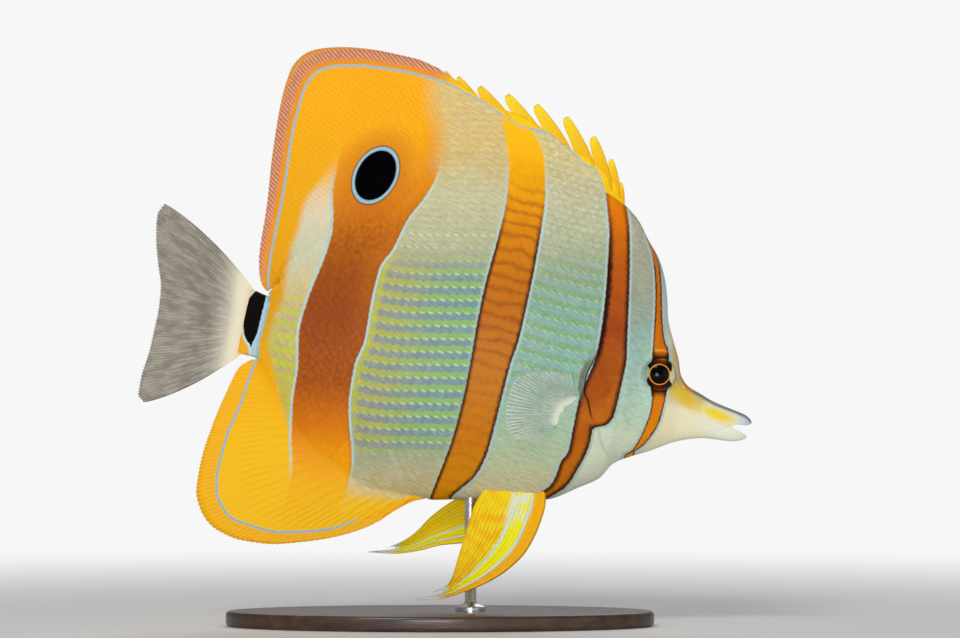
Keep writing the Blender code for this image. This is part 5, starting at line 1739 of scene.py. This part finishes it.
# %% The stand
BASE_LENGTH, BASE_WIDTH, BASE_HEIGHT, BASE_BEVEL = 112.0, 58.0, 4.0, 1.2
ROD_X, ROD_RADIUS, ROD_TOP = 8.0, 1.5, 45.0
ROD_FOOT_RADIUS, ROD_FOOT_RIM, ROD_FOOT_HEIGHT = 4.0, 1.0, 1.6


def spun(name, outline, middle_x, steps, width_share=1.0):
    """A profile of (radius, height) points, in millimetres, spun about an upright axis."""
    turn = np.linspace(0, 2 * math.pi, steps + 1)[:-1, None]
    r, z = np.array(outline[1:-1]).T[:, None, :]
    points = np.stack([middle_x + r * np.cos(turn), r * np.sin(turn) * width_share, z + 0 * turn], axis=-1)
    rows = len(outline) - 2
    grid = np.arange(steps * rows).reshape(steps, rows)
    ends = [(middle_x, 0, outline[0][1]), (middle_x, 0, outline[-1][1])]
    faces = []
    following = np.roll(grid, -1, axis=0)
    for a, b in zip(grid, following):
        faces += [[int(a[k]), int(b[k]), int(b[k + 1]), int(a[k + 1])] for k in range(rows - 1)]
        faces += [[int(a[0]), int(b[0]), grid.size], [int(a[-1]), int(b[-1]), grid.size + 1]]
    mesh = bpy.data.meshes.new(name)
    mesh.from_pydata((np.vstack([points.reshape(-1, 3), ends]) * MM).tolist(), [], faces)
    mesh = turned_out(mesh)
    mesh.set_sharp_from_angle(angle=math.radians(40))
    return mesh


def rounded(radius, height, bevel, low=0.0, steps=6):
    """A profile from the axis down under a disc, round its rims and back to the axis on top."""
    arc = [math.radians(90) * k / steps for k in range(steps + 1)]
    lower = [(radius - bevel + bevel * math.sin(a), low + bevel - bevel * math.cos(a)) for a in arc]
    upper = [(radius - bevel + bevel * math.cos(a), height - bevel + bevel * math.sin(a)) for a in arc]
    return [(0, low), (radius * 0.5, low), *lower, *upper, (radius * 0.5, height), (0, height)]


def wood():
    made, p, shader = surface("dark_wood", Coat_Weight=0.35, Coat_Roughness=0.15)
    at = p.millimetres(turned=False)
    grain = p.noise(p.mapping(at, (0.03, 0.45, 0.45)), 1.0, 5, 0.65)
    fine = p.noise(p.mapping(at, (0.15, 4.0, 4.0)), 1.0, 3)
    tint = p.gradient(grain, (0.3, 40, 22, 14), (0.5, 66, 38, 24), (0.7, 92, 56, 34))
    tint = p.mix(p.span(fine, 0.5, 0.7, 0.0, 0.5), tint, colour(30, 16, 10))
    p.put(shader.inputs["Base Color"], tint)
    p.put(shader.inputs["Roughness"], p.span(fine, 0.3, 0.7, 0.35, 0.5))
    bumped(p, shader, fine, 0.00008)
    return made


def steel():
    made, p, shader = surface("brushed_steel", Metallic=1.0)
    lines = p.noise(p.mapping(p.millimetres(turned=False), (0.4, 0.4, 9.0)), 1.0, 3)
    p.put(shader.inputs["Base Color"], p.mix(lines, colour(196, 197, 200), colour(222, 222, 222)))
    p.put(shader.inputs["Roughness"], p.span(lines, 0.3, 0.7, 0.22, 0.38))
    bumped(p, shader, lines, 0.00003)
    return made


BASE_OUTLINE = rounded(BASE_LENGTH / 2, BASE_HEIGHT, BASE_BEVEL)
base_mesh = spun("stand_base", BASE_OUTLINE, 0.0, 192, BASE_WIDTH / BASE_LENGTH)
piece("stand_board", base_mesh, wood(), "stand_wood", "stand_base")
foot = BASE_HEIGHT + 0.02
ROD_OUTLINE = [
    (0, foot), (3, foot), (ROD_FOOT_RADIUS, foot), (ROD_FOOT_RADIUS, BASE_HEIGHT + ROD_FOOT_RIM),
    (ROD_FOOT_RADIUS - 0.3, BASE_HEIGHT + ROD_FOOT_RIM + 0.3), (ROD_RADIUS + 0.5, BASE_HEIGHT + ROD_FOOT_HEIGHT + 0.2),
    (ROD_RADIUS, BASE_HEIGHT + ROD_FOOT_HEIGHT + 0.8), (ROD_RADIUS, ROD_TOP - 0.3), (ROD_RADIUS - 0.3, ROD_TOP),
    (0, ROD_TOP),
]
piece("stand_post", spun("stand_post", ROD_OUTLINE, ROD_X, 48), steel(), "stand_steel", "stand_rod")

# %% [markdown]
# Last comes the studio. The floor is pale and runs out to the same white as the backdrop, so no horizon crosses the
# picture. The key light stands high in front, a broad weak one fills in from the head's side, a small one glows just
# over the floor, as pale sand throws light up from below, and one behind shines through the fins. A long lens looks
# straight at the fish's right side, from far enough that the view has almost no perspective.

# %% Floor, light and camera
WHITE = 0.93


def floor():
    reach = 6.0
    mesh = bpy.data.meshes.new("floor")
    mesh.from_pydata(
        [(-reach, -reach, 0), (reach, -reach, 0), (reach, reach, 0), (-reach, reach, 0)], [], [(0, 1, 2, 3)],
    )
    material, p, shader = surface("pale_floor", Roughness=0.85, Base_Color=(0.86, 0.86, 0.855, 1))
    away = p.node("ShaderNodeVectorMath", {"operation": "LENGTH"}, i0=p.node("ShaderNodeTexCoord").outputs["Object"])
    glow = p.node("ShaderNodeEmission", Color=(WHITE, WHITE, WHITE, 1), Strength=1.0)
    fade = p.node(
        "ShaderNodeMixShader", i0=p.span(away.outputs["Value"], 0.12, 0.5), i1=shader.outputs[0], i2=glow.outputs[0],
    )
    p.put(material.node_tree.nodes["Material Output"].inputs["Surface"], fade.outputs[0])
    mesh.materials.append(material)
    linked("floor", mesh)


floor()


FISH_MIDDLE = Vector((0, 0, 0.08))


def lamp(name, place_at, size, power):
    """A square soft light, in metres and watts, that looks at the fish."""
    light = bpy.data.lights.new(name, "AREA")
    light.size = size
    light.energy = power
    made = linked(name, light)
    made.location = place_at
    made.rotation_euler = (FISH_MIDDLE - Vector(place_at)).to_track_quat("-Z", "Y").to_euler()


lamp("key_light", (-0.35, -0.95, 0.95), 0.32, 4.6)
lamp("fill_light", (0.75, -0.85, 0.12), 0.8, 1.3)
lamp("low_light", (-0.02, -0.42, 0.056), 0.1, 0.47)
lamp("back_light", (0.1, 0.9, 0.8), 0.7, 3.0)

world = bpy.data.worlds.new("studio")
world.use_nodes = True
bpy.context.scene.world = world
sky = Paint(world.node_tree)
background = world.node_tree.nodes["Background"]
seen = sky.node("ShaderNodeLightPath").outputs["Is Camera Ray"]
sky.put(background.inputs["Strength"], sky.span(seen, 0.0, 1.0, 0.26, WHITE))
background.inputs["Color"].default_value = (1, 1, 1, 1)

VIEW_WIDTH, VIEW_MIDDLE, CAMERA_AWAY = 0.2509, (0.01046, 0.08025), 1.4
camera = bpy.data.cameras.new("camera")
camera.sensor_width = 36
camera.lens = camera.sensor_width * CAMERA_AWAY / VIEW_WIDTH
camera.clip_start = 0.05
viewer = linked("camera", camera)
viewer.location = (VIEW_MIDDLE[0], -CAMERA_AWAY, VIEW_MIDDLE[1])
viewer.rotation_euler = (math.radians(90), 0, 0)
bpy.context.scene.camera = viewer
